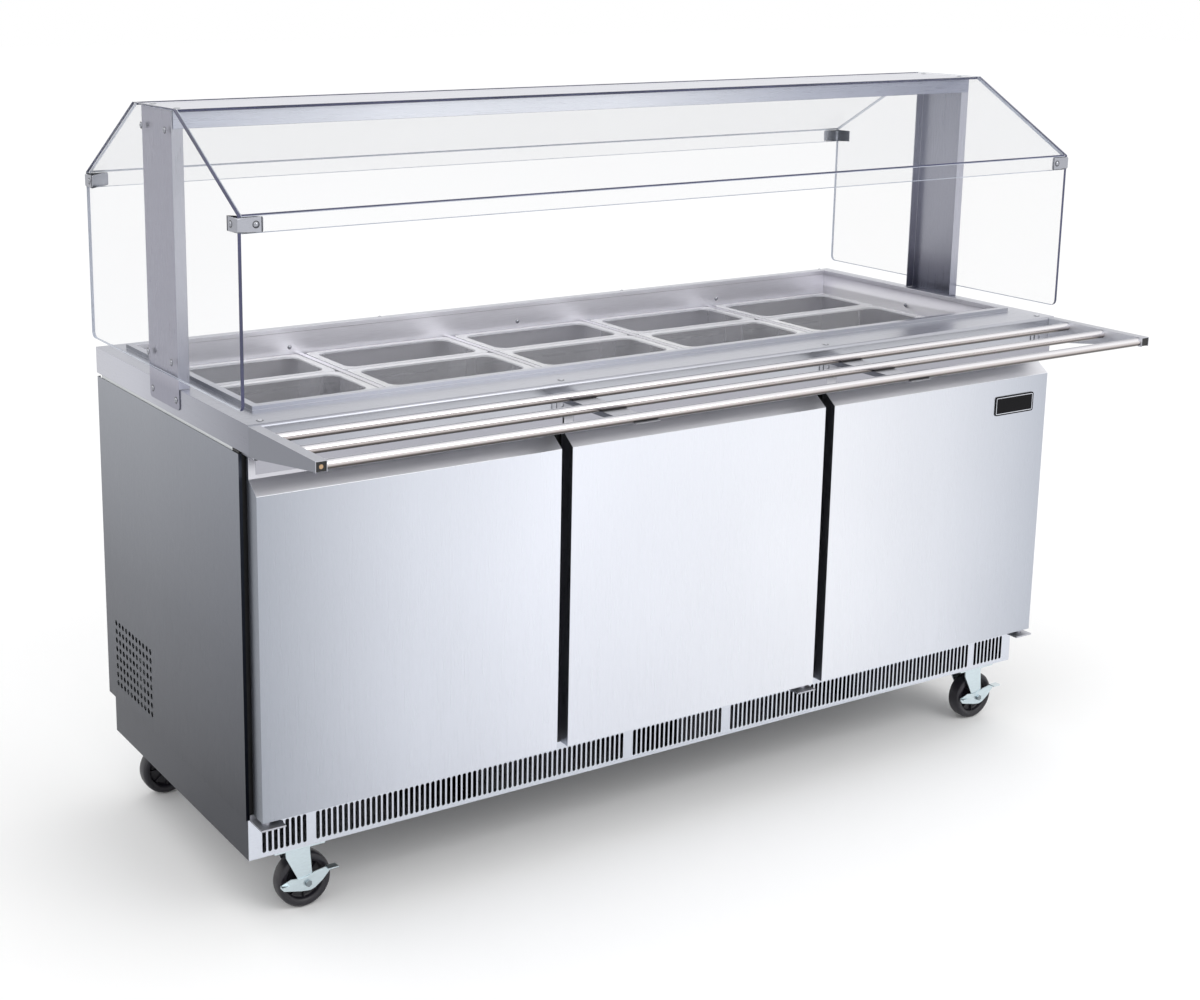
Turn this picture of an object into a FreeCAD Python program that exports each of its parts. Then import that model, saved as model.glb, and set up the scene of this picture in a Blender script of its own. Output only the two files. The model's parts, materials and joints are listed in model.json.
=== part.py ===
"""Mobile refrigerated salad bar with three doors, a glass guard and a tray slide.

Millimetres. X runs along the counter, the doors face -Y and +Z is up. Every sub-part is drawn
about the middle of the counter, at its own height above the floor, and its Placement then moves
it back by row_shift, so that the origin lies under the middle of the whole salad bar.
"""
import FreeCAD, Part
import math
import os
import re

import Sketcher
from FreeCAD import Placement, Rotation, Vector

SIZES = {
    # Counter and well
    "counter_length": (1829.0, "length of the counter"),
    "counter_depth": (695.0, "front to back of the counter"),
    "counter_top": (898.0, "height of the counter above the floor"),
    "counter_skirt": (50.0, "height of the counter's folded edge"),
    "counter_sheet": (1.5, "sheet of the counter"),
    "nose_radius": (6.0, "rounding of the counter's front edge"),
    "well_length": (1710.0, "length of the opening for the pans"),
    "well_depth": (540.0, "front to back of the opening for the pans"),
    "well_rear_border": (54.0, "counter behind the opening"),
    "well_wall_height": (150.0, "height of the well's walls"),
    "rim_height": (8.0, "raised rim round the opening"),
    "rim_width": (14.0, "width of the raised rim"),
    "ledge_width": (13.0, "ledge that carries the pans"),
    "liner_sheet": (1.2, "sheet of the well and of the brackets"),
    "air_slot_length": (60.0, "cold air slot in the well's rear wall"),
    "air_slot_height": (5.0, "height of a cold air slot"),
    "air_slot_pitch": (80.0, "from one cold air slot to the next"),
    "air_slot_drop": (67.0, "from the pan rims down to the upper air slots"),
    "air_slot_rows": (13.0, "between the two rows of air slots"),
    # Pans
    "pan_drop": (45.0, "from the counter down to the pan rims"),
    "pan_length": (325.0, "third-size pan, along the counter"),
    "pan_width": (176.0, "third-size pan, front to back"),
    "pan_depth": (100.0, "depth of a pan"),
    "pan_wall": (2.5, "wall of a pan"),
    "pan_flange": (13.0, "width of a pan's flange"),
    "pan_rim": (4.0, "height of a pan's flange"),
    "pan_corner": (25.0, "corner rounding of a pan's body"),
    "pan_foot": (12.0, "rounding between a pan's wall and its floor"),
    "pan_flange_corner": (12.0, "corner rounding of a pan's flange"),
    "pan_pitch_x": (342.0, "from one column of pans to the next"),
    "pan_pitch_y": (178.0, "from one row of pans to the next"),
    "bar_spine": (11.0, "raised middle of a pan support bar"),
    # Cabinet
    "cabinet_front": (303.0, "middle of the counter to the cabinet's front frame"),
    "cabinet_rear": (325.0, "middle of the counter to the cabinet's insulated back"),
    "cabinet_bottom": (204.0, "height of the underside of the insulated cabinet"),
    "frame_depth": (25.0, "depth of the front frame"),
    "tub_wall": (45.0, "insulated end wall"),
    "tub_back": (30.0, "insulated back wall"),
    "tub_floor": (45.0, "insulated floor"),
    "header_height": (50.0, "front frame above the door openings"),
    "step_height": (400.0, "height of the top of the machine room"),
    "step_front": (95.0, "middle of the counter to the machine room's front wall"),
    "panel_sheet": (1.2, "sheet of the outside panels"),
    "panel_hem": (6.0, "folded edge of a side panel"),
    "panel_rear": (344.0, "middle of the counter to the side panels' rear edge"),
    "louvre_edge": (90.0, "louvre slots inside the ends of the back panel"),
    "louvre_margin": (40.0, "back panel above and below the louvre slots"),
    "louvre_width": (6.0, "width of a louvre slot"),
    "louvre_pitch": (16.0, "from one louvre slot to the next"),
    "panel_gap": (6.0, "dark gap between the counter and the side panels"),
    # Base
    "base_bottom": (125.4, "height of the underside of the base"),
    "base_inset": (7.3, "base behind the ends of the counter"),
    "base_front": (295.4, "middle of the counter to the grille's face"),
    "base_rear": (331.0, "middle of the counter to the base's rear"),
    "base_sheet": (2.0, "sheet of the base"),
    "grille_sheet": (1.5, "sheet of the grille"),
    "slot_pitch": (10.9, "from one grille slot to the next"),
    "slot_width": (7.2, "width of a grille slot"),
    "slot_bottom": (8.0, "plain strip under the slots"),
    "slot_length": (52.0, "height of a grille slot"),
    "slot_bar": (18.4, "plain bar beside an end group of slots"),
    "slot_middle_bar": (22.5, "plain bar beside the middle group of slots"),
    # Side vent
    "vent_hole": (5.5, "radius of a vent hole"),
    "vent_pitch": (17.6, "from one vent hole to the next"),
    "vent_rear": (291.0, "middle of the counter to the rearmost holes"),
    "vent_bottom": (240.0, "height of the lowest holes"),
    # Doors
    "door_width": (587.2, "width of a door"),
    "door_gap": (23.0, "between two doors"),
    "door_bottom": (214.8, "height of a door's lower edge"),
    "door_face_top": (779.3, "height of the top edge of a door's flat face"),
    "door_top": (840.0, "height of a door's upper edge"),
    "door_thick": (37.0, "steel side of a door"),
    "door_sheet": (1.2, "sheet of a door"),
    "pull_depth": (29.0, "depth of the finger recess"),
    "pull_rise": (21.7, "rise of the recess's sloping floor"),
    "pull_lip": (23.5, "height of the lip above the recess"),
    "seal_inset": (15.0, "seal inside the door's edge"),
    "opening_margin": (22.5, "door opening inside the seal's outer edge"),
    "seal_width": (14.0, "width of the magnetic seal"),
    "seal_thick": (6.7, "thickness of the magnetic seal"),
    "liner_inset": (50.0, "inner lining inside the door's edge"),
    "liner_depth": (20.0, "inner lining behind the door's steel"),
    "pivot_inset": (14.0, "hinge pin inside the door's edge"),
    "pivot_back": (19.0, "hinge pin behind the door's face"),
    "pin_radius": (4.0, "radius of a hinge pin"),
    "pin_play": (0.06, "play between a pin and its hole"),
    "pin_reach": (7.0, "hinge pin inside the door"),
    "hinge_top": (205.0, "height of a lower hinge plate's top"),
    "hinge_reach": (4.5, "lower hinge plate before the door's face"),
    "hinge_length": (45.0, "length of a hinge plate along the cabinet"),
    "hinge_offset": (4.5, "hinge plate's middle inside its pin"),
    "hinge_thick": (3.0, "thickness of a hinge plate"),
    "badge_length": (110.0, "length of the blank badge"),
    "badge_height": (40.0, "height of the blank badge"),
    "badge_thick": (1.5, "thickness of the blank badge"),
    "badge_inset": (38.7, "badge inside the door's edge"),
    "badge_drop": (35.3, "from the face's top edge down to the badge"),
    # Guard
    "post_width": (132.0, "width of a guard post"),
    "post_flange": (21.0, "flange of a guard post"),
    "post_sheet": (2.0, "sheet of the posts and the beam"),
    "post_overlap": (37.0, "post plate over the counter's edge"),
    "guard_top": (1376.7, "height of the top of the glass"),
    "guard_flat": (92.0, "half of the flat top of an end glass"),
    "guard_half": (340.2, "middle of the counter to the glass's vertical edges"),
    "guard_knee": (1231.4, "height of the knee of the glass"),
    "guard_lip": (29.4, "upright lip of the sloping glass"),
    "guard_foot": (918.8, "height of the lower edge of an end glass"),
    "glass_thick": (6.0, "thickness of the glass"),
    "glass_corner": (12.0, "corner rounding of an end glass"),
    "beam_height": (33.0, "height of the top beam"),
    "cap_overlap": (21.0, "beam's top plate past its web"),
    "clip_length": (45.0, "front leg of a corner clip"),
    "clip_side": (38.0, "side leg of a corner clip"),
    "clip_height": (24.0, "height of a corner clip"),
    "clip_sheet": (1.7, "sheet of a corner clip"),
    "clip_lift": (2.0, "corner clip above the glass's lower edge"),
    "clip_screw": (22.0, "screws of a corner clip inside the ends of the guard"),
    # Tray slide
    "tray_reach": (582.3, "middle of the counter to the tip of the tray slide"),
    "tray_drop": (1.7, "tray slide's top below the counter"),
    "bracket_width": (20.0, "width of an end bracket"),
    "bracket_tip": (18.0, "height of a bracket's tip"),
    "bracket_root": (48.0, "height of a bracket at the counter"),
    "middle_bracket_width": (50.0, "width of a middle bracket"),
    "middle_bracket_place": (306.0, "middle of the counter to a middle bracket"),
    "bracket_lip": (9.0, "short left lip of a middle bracket"),
    "flange_half": (34.0, "half the width of a bracket's wall flange"),
    "flange_drop": (24.0, "from the tray slide's top down to a wall flange"),
    "flange_holes_drop": (37.0, "from the tray slide's top down to a flange's holes"),
    "flange_slot": (14.0, "height of a slot in a wall flange"),
    "flange_hole": (3.5, "radius of a hole in a wall flange"),
    "end_tab": (50.0, "width of an end bracket's wall flange"),
    "tube_radius": (8.0, "radius of a tray tube"),
    "tube_wall": (1.5, "wall of a tray tube"),
    "tube_first": (396.0, "middle of the counter to the innermost tube"),
    "tube_pitch": (88.0, "from one tray tube to the next"),
    # Casters
    "caster_x": (811.0, "middle of the counter to a caster's pivot, along"),
    "caster_front": (262.0, "middle of the counter to a front caster's pivot"),
    "caster_rear": (277.0, "middle of the counter to a rear caster's pivot"),
    "caster_trail": (18.0, "wheel axle beside the caster's pivot"),
    "wheel_radius": (51.0, "radius of a caster wheel"),
    "wheel_width": (30.0, "width of a caster wheel"),
    "axle_radius": (4.0, "radius of a wheel axle"),
    "axle_play": (0.06, "play between a wheel and its axle"),
    "fork_sheet": (3.0, "sheet of a fork"),
    "fork_width": (46.0, "outside width of a fork"),
    "fork_front": (22.0, "fork before its pivot"),
    "fork_back": (24.0, "fork behind its pivot and radius of its crown"),
    "fork_foot": (11.0, "fork below and beside the axle"),
    "stud_radius": (6.0, "radius of a swivel stud"),
    "race_radius": (19.0, "radius of a swivel race"),
    "race_height": (4.0, "height of a swivel race"),
    "bolt_head": (6.5, "radius of an axle bolt's head and nut across its corners"),
    "bolt_head_height": (4.0, "height of an axle bolt's head"),
    "bolt_nut_height": (5.0, "height of an axle bolt's nut"),
    "bolt_end": (2.0, "axle bolt past its nut"),
    "hub_radius": (14.0, "radius of a wheel's hub"),
    "hub_play": (0.4, "space between a wheel's hub and its fork"),
    "web_half": (5.0, "half the thickness of a wheel's web"),
    "web_radius": (34.0, "radius of a wheel's dished web"),
    "tyre_slope": (4.0, "width of a wheel's sloping inner and outer shoulders"),
    "plate_length": (96.0, "length of a caster's mounting plate"),
    "plate_width": (66.0, "width of a caster's mounting plate"),
    "plate_thick": (3.0, "thickness of a caster's mounting plate"),
    "pedal_sheet": (2.0, "sheet of a brake pedal"),
    # Inside the cabinet
    "shelf_height": (470.0, "height of the wire shelves"),
    "shelf_length": (540.0, "length of a wire shelf"),
    "shelf_depth": (500.0, "front to back of a wire shelf"),
    "shelf_shift": (20.0, "outer shelves' middle inside their doors' middle"),
    "shelf_frame_wire": (3.0, "radius of a shelf's frame wire"),
    "shelf_cross_wire": (2.6, "radius of a shelf's cross wire"),
    "shelf_cross_inset": (4.0, "outer cross wires inside the ends of a shelf"),
    "shelf_wire": (1.5, "radius of a shelf's thin wire"),
    "shelf_wire_sink": (0.9, "thin wires sunk into the frame wires, where they are welded"),
    "strip_width": (18.0, "width of a shelf strip"),
    "strip_depth": (8.0, "depth of a shelf strip"),
    "strip_rear": (260.0, "height of a rear shelf strip"),
    "strip_front": (440.0, "height of a front shelf strip"),
    "strip_clip": (4.0, "thickness of a shelf clip"),
    "strip_grip": (10.0, "shelf resting on a clip"),
    "coil_length": (420.0, "length of the evaporator"),
    "coil_height": (110.0, "height of the evaporator"),
    "coil_depth": (45.0, "depth of the evaporator"),
    "coil_top": (700.0, "height of the top of the evaporator"),
    "cover_gap": (8.0, "space inside the evaporator's cover"),
    "cover_side": (30.0, "evaporator's cover past the ends of the coil"),
    "fan_radius": (46.0, "radius of a fan's blades"),
    "fan_hub": (14.0, "radius and height of a fan's hub"),
    "fan_blade_root": (10.0, "fan's shaft to the root of a blade"),
    "fan_blade_width": (26.0, "width of a fan's blade"),
    "fan_blade_sheet": (2.0, "thickness of a fan's blade"),
    "fan_ring": (4.0, "space between a fan's blades and their opening"),
    "fan_space": (30.0, "evaporator's cover before the coil, for the fan"),
    "fan_stand": (14.0, "evaporator's fan behind the cover's face"),
    "fan_clear": (22.0, "condenser's fan behind the condenser"),
    "shaft_radius": (3.0, "radius of a fan motor's shaft"),
    "shaft_play": (0.06, "play between a fan and its shaft"),
    "shaft_before": (8.0, "shaft before the middle of its fan"),
    "motor_behind": (9.0, "motor behind the middle of its fan"),
    "small_motor": (17.0, "radius of the evaporator's motor"),
    "small_motor_length": (14.0, "length of the evaporator's motor"),
    "large_motor": (24.0, "radius of the condenser's motor"),
    "large_motor_length": (40.0, "length of the condenser's motor"),
    "coil_slot": (0.04, "gap between two packs of fins, as a share of the coil"),
    "coil_slot_pitch": (0.08, "from one such gap to the next, as a share"),
    "coil_edge": (8.0, "solid strip above and below the fins"),
    "condenser_side": (12.0, "space beside the condenser"),
    "machine_gap": (20.0, "machines behind the machine room's front wall"),
    "condenser_height": (190.0, "height of the condenser"),
    "condenser_depth": (180.0, "front to back of the condenser"),
    "condenser_thick": (45.0, "thickness of the condenser"),
    "compressor_radius": (72.0, "radius of the compressor's shell"),
    "compressor_height": (165.0, "height of the compressor"),
    "compressor_place": (300.0, "compressor's middle inside the base's left end"),
    "compressor_lift": (14.0, "compressor's shell above the base"),
    "drain_length": (360.0, "length of the drain pan"),
    "drain_width": (150.0, "width of the drain pan"),
    "drain_height": (22.0, "height of the drain pan"),
    "drain_wall": (2.0, "wall of the drain pan"),
    "drain_place": (316.0, "middle of the counter to the drain pan's left end"),
    "thermostat_place": (240.0, "thermostat inside the counter's right end"),
    "thermostat_length": (110.0, "length of the thermostat's case"),
    "thermostat_depth": (50.0, "depth of the thermostat's case"),
    "thermostat_height": (70.0, "height of the thermostat's case"),
    "seat_gap": (0.3, "play where one piece rests in or on another"),
    "screw_head": (4.6, "radius of a dome screw's head"),
    "screw_rise": (2.6, "height of a dome screw's head"),
    "cap_head": (3.6, "radius of a small cap on the counter's rear edge"),
}

DERIVED = {
    "half_length": "counter_length / 2",
    "half_depth": "counter_depth / 2",
    "row_shift": "(tray_reach - half_depth) / 2",
    "skirt_bottom": "counter_top - counter_skirt",
    "well_back": "half_depth - well_rear_border",
    "well_front": "well_back - well_depth",
    "well_middle": "well_back - well_depth / 2",
    "counter_under": "counter_top - counter_sheet",
    "pan_top": "counter_top - pan_drop",
    "pan_seat": "pan_top - pan_rim",
    "tub_half": "half_length - panel_sheet - seat_gap * 2",
    "tub_top": "counter_under - seat_gap",
    "frame_top": "skirt_bottom - 2",
    "tub_front": "-cabinet_front + frame_depth",
    "panel_top": "skirt_bottom - panel_gap",
    "base_half": "half_length - base_inset",
    "base_top": "cabinet_bottom - seat_gap",
    "door_front": "-half_depth",
    "door_back": "door_front + door_thick",
    "door_pitch": "door_width + door_gap",
    "pull_floor": "door_face_top + pull_rise",
    "opening_width": "door_width - 2 * (seal_inset + opening_margin)",
    "opening_bottom": "cabinet_bottom + tub_floor + 2",
    "opening_top": "frame_top - header_height",
    "pivot_y": "door_front + pivot_back",
    "web_outer": "half_length + seat_gap + post_sheet",
    "glass_inner": "web_outer + seat_gap",
    "slope": "(guard_top - guard_knee) / (guard_half - guard_flat)",
    "beam_half": "post_width / 2 + post_sheet + seat_gap",
    "cap_top": "guard_top - 1.7",
    "tray_top": "counter_top - tray_drop",
    "tray_root": "-half_depth - seat_gap",
    "tube_height": "tray_top - liner_sheet - seat_gap - tube_radius",
    "plate_top": "base_bottom - seat_gap",
    "shelf_middle": "(tub_front + cabinet_rear - tub_back) / 2",
    "shelf_pitch": "door_pitch - shelf_shift",
    "coil_back": "cabinet_rear - tub_back - seat_gap",
    "coil_bottom": "coil_top - coil_height",
    "coil_middle": "-shelf_pitch",
    "cover_front": "coil_back - coil_depth - 2 * cover_gap - fan_space",
    "small_fan_back": "cover_front + fan_stand",
    "machine_floor": "base_bottom + base_sheet + seat_gap",
    "machine_front": "step_front + machine_gap",
    "condenser_left": "-base_half + base_sheet + condenser_side",
    "condenser_middle": "machine_front + condenser_depth / 2",
    "large_fan_place": "condenser_left + condenser_thick + fan_clear",
    "large_fan_height": "machine_floor + condenser_height / 2",
    "clip_bottom": "guard_knee - guard_lip + clip_lift",
}

doc = FreeCAD.newDocument("mobile_salad_bar")
dims = doc.addObject("Spreadsheet::Sheet", "dims")
for row, (word, (value, meaning)) in enumerate(SIZES.items(), start=1):
    dims.set(f"A{row}", word)
    dims.set(f"B{row}", str(value))
    dims.set(f"C{row}", meaning)
    dims.setAlias(f"B{row}", word)
doc.recompute()

pieces = []
places = {}


# ---------------------------------------------------------------- formulas and placing
def formula(text):
    """Spell out a formula: words become cells of the sheet, derived words their own formula."""
    def spell(match):
        word = match.group()
        if word in DERIVED:
            return f"({formula(DERIVED[word])})"
        return f"dims.{word}" if word in SIZES else word
    return re.sub(r"[a-z_]+", spell, str(text))


def number(text):
    """The present value of a formula."""
    result = dims.evalExpression(formula(text))
    return float(getattr(result, "Value", result))


def bind(thing, prop, text):
    thing.setExpression(prop, formula(text))


def place(thing, spot, turn=None):
    """Bind a thing's position to three formulas, after an optional fixed turn."""
    if turn:
        thing.Placement = Placement(Vector(), turn)
    for axis, text in zip("xyz", spot):
        bind(thing, f"Placement.Base.{axis}", text)
    places[thing.Name] = tuple(str(text) for text in spot)
    return thing


def piece(thing, label):
    """Name a finished sub-part and carry it from the counter's middle to the row's frame."""
    x, y, z = places.get(thing.Name, ("0", "0", "0"))
    place(thing, (x, f"{y} + row_shift", z), thing.Placement.Rotation)
    thing.Label = label
    pieces.append(thing)
    return thing


def shape_piece(solids, label):
    """A sub-part whose solids are an array or a free form, worked out here from the sheet."""
    thing = doc.addObject("Part::Feature", label)
    thing.Shape = solids[0] if len(solids) == 1 else Part.makeCompound(solids)
    if len(solids) == 1:
        spot = thing.Shape.Placement.Base
        turn = thing.Shape.Placement.Rotation
        place(thing, (spot.x, spot.y, spot.z), turn)
    return piece(thing, label)


# ---------------------------------------------------------------- solids
def box(name, low, size):
    thing = doc.addObject("Part::Box", name)
    for prop, text in zip(("Length", "Width", "Height"), size):
        bind(thing, prop, text)
    return place(thing, low)


TURN = {
    "X": Rotation(Vector(0, 1, 0), 90),
    "Y": Rotation(Vector(1, 0, 0), -90),
    "Z": Rotation(),
}


def rod(name, start, radius, length, axis="Z"):
    """A cylinder from start, along an axis."""
    thing = doc.addObject("Part::Cylinder", name)
    bind(thing, "Radius", radius)
    bind(thing, "Height", length)
    return place(thing, start, TURN[axis])


def fuse(name, parts):
    thing = doc.addObject("Part::MultiFuse", name)
    thing.Shapes = parts
    thing.Refine = True
    return thing


def cut(name, base, tools):
    thing = doc.addObject("Part::Cut", name)
    thing.Base = base
    thing.Tool = tools[0] if len(tools) == 1 else fuse(f"{name}_tools", tools)
    return thing


def group(name, parts):
    """Separate solids that share a node."""
    thing = doc.addObject("Part::Compound", name)
    thing.Links = parts
    return thing


# ---------------------------------------------------------------- bodies with sketches
def body(name):
    return doc.addObject("PartDesign::Body", name)


def origin_part(owner, role):
    return next(item for item in owner.Origin.OriginFeatures if item.Role == role)


def sketch(owner, plane, lift="0"):
    """A sketch on one of the body's own planes: XY, XZ or YZ, lifted along its normal."""
    thing = owner.newObject("Sketcher::SketchObject", f"{owner.Name}_sketch")
    thing.AttachmentSupport = [(origin_part(owner, f"{plane}_Plane"), "")]
    thing.MapMode = "FlatFace"
    bind(thing, "AttachmentOffset.Base.z", lift)
    return thing


def fix_point(drawing, item, end, spot):
    """Tie a point of a sketch to two formulas measured from the sketch's origin."""
    for kind, text in zip(("DistanceX", "DistanceY"), spot):
        rule = Sketcher.Constraint(kind, -1, 1, item, end, number(text))
        index = drawing.addConstraint(rule)
        drawing.setExpression(f"Constraints[{index}]", formula(text))


def outline(drawing, corners):
    """A closed outline with straight sides through corners given as formulas."""
    spots = [Vector(number(u), number(v), 0) for u, v in corners]
    first = drawing.GeometryCount
    count = len(spots)
    for index, spot in enumerate(spots):
        drawing.addGeometry(Part.LineSegment(spot, spots[(index + 1) % count]), False)
    for index in range(count):
        after = first + (index + 1) % count
        drawing.addConstraint(Sketcher.Constraint("Coincident", first + index, 2, after, 1))
    for index, corner in enumerate(corners):
        fix_point(drawing, first + index, 1, corner)


def rectangle(drawing, low, high):
    (u0, v0), (u1, v1) = low, high
    outline(drawing, [(u0, v0), (u1, v0), (u1, v1), (u0, v1)])


def circle(drawing, centre, radius):
    spot = Vector(number(centre[0]), number(centre[1]), 0)
    item = drawing.addGeometry(Part.Circle(spot, Vector(0, 0, 1), number(radius)), False)
    fix_point(drawing, item, 3, centre)
    index = drawing.addConstraint(Sketcher.Constraint("Radius", item, number(radius)))
    drawing.setExpression(f"Constraints[{index}]", formula(radius))


def slot(drawing, u, low, high, radius):
    """An upright slot with round ends, from its low end to its high end."""
    middle, half = number(u), number(radius)
    bottom, top = number(low) + half, number(high) - half
    up = Part.Circle(Vector(middle, top, 0), Vector(0, 0, 1), half)
    down = Part.Circle(Vector(middle, bottom, 0), Vector(0, 0, 1), half)
    arc_up = drawing.addGeometry(Part.ArcOfCircle(up, 0, math.pi), False)
    arc_down = drawing.addGeometry(Part.ArcOfCircle(down, math.pi, 2 * math.pi), False)
    left = Part.LineSegment(Vector(middle - half, top, 0), Vector(middle - half, bottom, 0))
    right = Part.LineSegment(Vector(middle + half, bottom, 0), Vector(middle + half, top, 0))
    side_left = drawing.addGeometry(left, False)
    side_right = drawing.addGeometry(right, False)
    for one, end, other, start in ((arc_up, 2, side_left, 1), (side_left, 2, arc_down, 1),
                                   (arc_down, 2, side_right, 1), (side_right, 2, arc_up, 1)):
        drawing.addConstraint(Sketcher.Constraint("Tangent", one, end, other, start))
    fix_point(drawing, arc_up, 3, (u, f"{high} - {radius}"))
    fix_point(drawing, arc_down, 3, (u, f"{low} + {radius}"))
    index = drawing.addConstraint(Sketcher.Constraint("Radius", arc_up, half))
    drawing.setExpression(f"Constraints[{index}]", formula(radius))


def pad(owner, drawing, length, reverse=False):
    thing = owner.newObject("PartDesign::Pad", f"{owner.Name}_pad")
    thing.Profile = drawing
    thing.Reversed = reverse
    bind(thing, "Length", length)
    return thing


def pocket(owner, drawing, length, reverse=False):
    thing = owner.newObject("PartDesign::Pocket", f"{owner.Name}_pocket")
    thing.Profile = drawing
    thing.Reversed = reverse
    bind(thing, "Length", length)
    return thing


def edges_of(feature, test):
    """Names of the edges whose two ends and middle pass a test."""
    names = []
    for index, edge in enumerate(feature.Shape.Edges, start=1):
        ends = [vertex.Point for vertex in edge.Vertexes]
        if len(ends) == 2 and test(ends[0], ends[1]):
            names.append(f"Edge{index}")
    return names


def fillet(owner, feature, radius, test):
    """Round the edges of a body's last feature that pass a test."""
    doc.recompute()
    thing = owner.newObject("PartDesign::Fillet", f"{owner.Name}_fillet")
    thing.Base = (feature, edges_of(feature, test))
    bind(thing, "Radius", radius)
    return thing


def pattern(owner, feature, axis, pitch, count, axis_2=None, pitch_2="0", count_2=1):
    """Repeat a feature along one axis or two; a name that starts with - runs backwards."""
    thing = owner.newObject("PartDesign::LinearPattern", f"{owner.Name}_pattern")
    thing.Originals = [feature]
    thing.Direction = (origin_part(owner, f"{axis[-1]}_Axis"), [""])
    thing.Reversed = axis.startswith("-")
    thing.Mode = "Spacing"
    thing.Occurrences = count
    bind(thing, "Offset", pitch)
    if axis_2:
        thing.Direction2 = (origin_part(owner, f"{axis_2[-1]}_Axis"), [""])
        thing.Reversed2 = axis_2.startswith("-")
        thing.Mode2 = "Spacing"
        thing.Occurrences2 = count_2
        bind(thing, "Offset2", pitch_2)
    owner.Tip = thing
    return thing


def near(one, other):
    return abs(one - other) < 0.01


# ---------------------------------------------------------------- counter and well
def countertop():
    """Folded sheet with a round nose, an opening for the pans and a raised rim round it."""
    top = body("countertop")
    face = sketch(top, "XY", "skirt_bottom")
    rectangle(face, ("-half_length", "-half_depth"), ("half_length", "half_depth"))
    slab = pad(top, face, "counter_skirt")
    height, front = number("counter_top"), -number("half_depth")
    fillet(top, slab, "nose_radius", lambda a, b: near(a.z, height) and near(b.z, height)
           and near(a.y, front) and near(b.y, front))
    hollow = sketch(top, "YZ", "-half_length + counter_sheet")
    outline(hollow, [("-half_depth + counter_sheet", "skirt_bottom - 1"),
                     ("half_depth - counter_sheet", "skirt_bottom - 1"),
                     ("half_depth - counter_sheet", "counter_under"),
                     ("-half_depth + nose_radius", "counter_under"),
                     ("-half_depth + counter_sheet", "counter_top - nose_radius")])
    pocket(top, hollow, "counter_length - 2 * counter_sheet", reverse=True)
    rim = sketch(top, "XY", "counter_under")
    rectangle(rim, ("-well_length / 2 - rim_width", "well_front - rim_width"),
              ("well_length / 2 + rim_width", "well_back + rim_width"))
    pad(top, rim, "counter_sheet + rim_height")
    opening = sketch(top, "XY", "counter_under - 1")
    rectangle(opening, ("-well_length / 2", "well_front"), ("well_length / 2", "well_back"))
    pocket(top, opening, "rim_height + counter_sheet + 2", reverse=True)
    piece(top, "countertop")


def pan_well():
    """Straight-walled liner under the opening, with a ledge and two rows of cold air slots."""
    skin = "liner_sheet"
    wall = body("pan_well")
    outer = sketch(wall, "XY", "counter_under - well_wall_height")
    rectangle(outer, (f"-well_length / 2 - {skin}", f"well_front - {skin}"),
              (f"well_length / 2 + {skin}", f"well_back + {skin}"))
    pad(wall, outer, "well_wall_height")
    bore = sketch(wall, "XY", "counter_under - well_wall_height")
    rectangle(bore, ("-well_length / 2", "well_front"), ("well_length / 2", "well_back"))
    pocket(wall, bore, "well_wall_height", reverse=True)
    ledge = sketch(wall, "XY", f"pan_seat - seat_gap - 2 * {skin}")
    rectangle(ledge, (f"-well_length / 2 - {skin}", f"well_front - {skin}"),
              (f"well_length / 2 + {skin}", f"well_back + {skin}"))
    rectangle(ledge, ("-well_length / 2 + ledge_width", "well_front + ledge_width"),
              ("well_length / 2 - ledge_width", "well_back - ledge_width"))
    pad(wall, ledge, skin)
    air = sketch(wall, "XZ", f"-well_back - {skin} - 1")
    low = "pan_top - air_slot_drop - air_slot_height"
    rectangle(air, ("-well_length / 2 + air_slot_pitch / 2", low),
              ("-well_length / 2 + air_slot_pitch / 2 + air_slot_length",
               "pan_top - air_slot_drop"))
    cutter = pocket(wall, air, f"{skin} + 2", reverse=True)
    count = int((number("well_length") - number("air_slot_pitch")) // number("air_slot_pitch")) + 1
    pattern(wall, cutter, "X", "air_slot_pitch", count, "-Z", "air_slot_rows", 2)
    piece(wall, "pan_well")


def support_bars():
    """Four bars from front to back; the pans' flanges rest on their wings."""
    bars = []
    wing = "pan_pitch_x - pan_length + 2 * (pan_flange - 3)"
    for index in range(4):
        middle = f"pan_pitch_x * {index - 1.5}"
        foot = "pan_seat - seat_gap - liner_sheet"
        plate = box(f"bar_plate_{index}", (f"{middle} - ({wing}) / 2", "well_front + seat_gap",
                                           foot),
                    (wing, "well_depth - 2 * seat_gap", "liner_sheet"))
        spine = box(f"bar_spine_{index}", (f"{middle} - bar_spine / 2", "well_front + seat_gap",
                                           foot),
                    ("bar_spine", "well_depth - 2 * seat_gap",
                     "pan_top - pan_seat + seat_gap + liner_sheet"))
        bars.append(fuse(f"support_bar_{index}", [plate, spine]))
    piece(group("pan_support_bars", bars), "pan_support_bars")


def upright(a, b):
    return near(a.x, b.x) and near(a.y, b.y)


def round_block(name, half, low, height, corner, foot=None):
    """Block about x = y = 0 with round upright corners and, if asked, a round foot."""
    block = body(name)
    face = sketch(block, "XY", low)
    rectangle(face, (f"-({half[0]})", f"-({half[1]})"), half)
    rounded = fillet(block, pad(block, face, height), corner, upright)
    if foot:
        floor = number(low)
        fillet(block, rounded, foot, lambda a, b: near(a.z, floor) and near(b.z, floor))
    return block


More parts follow.
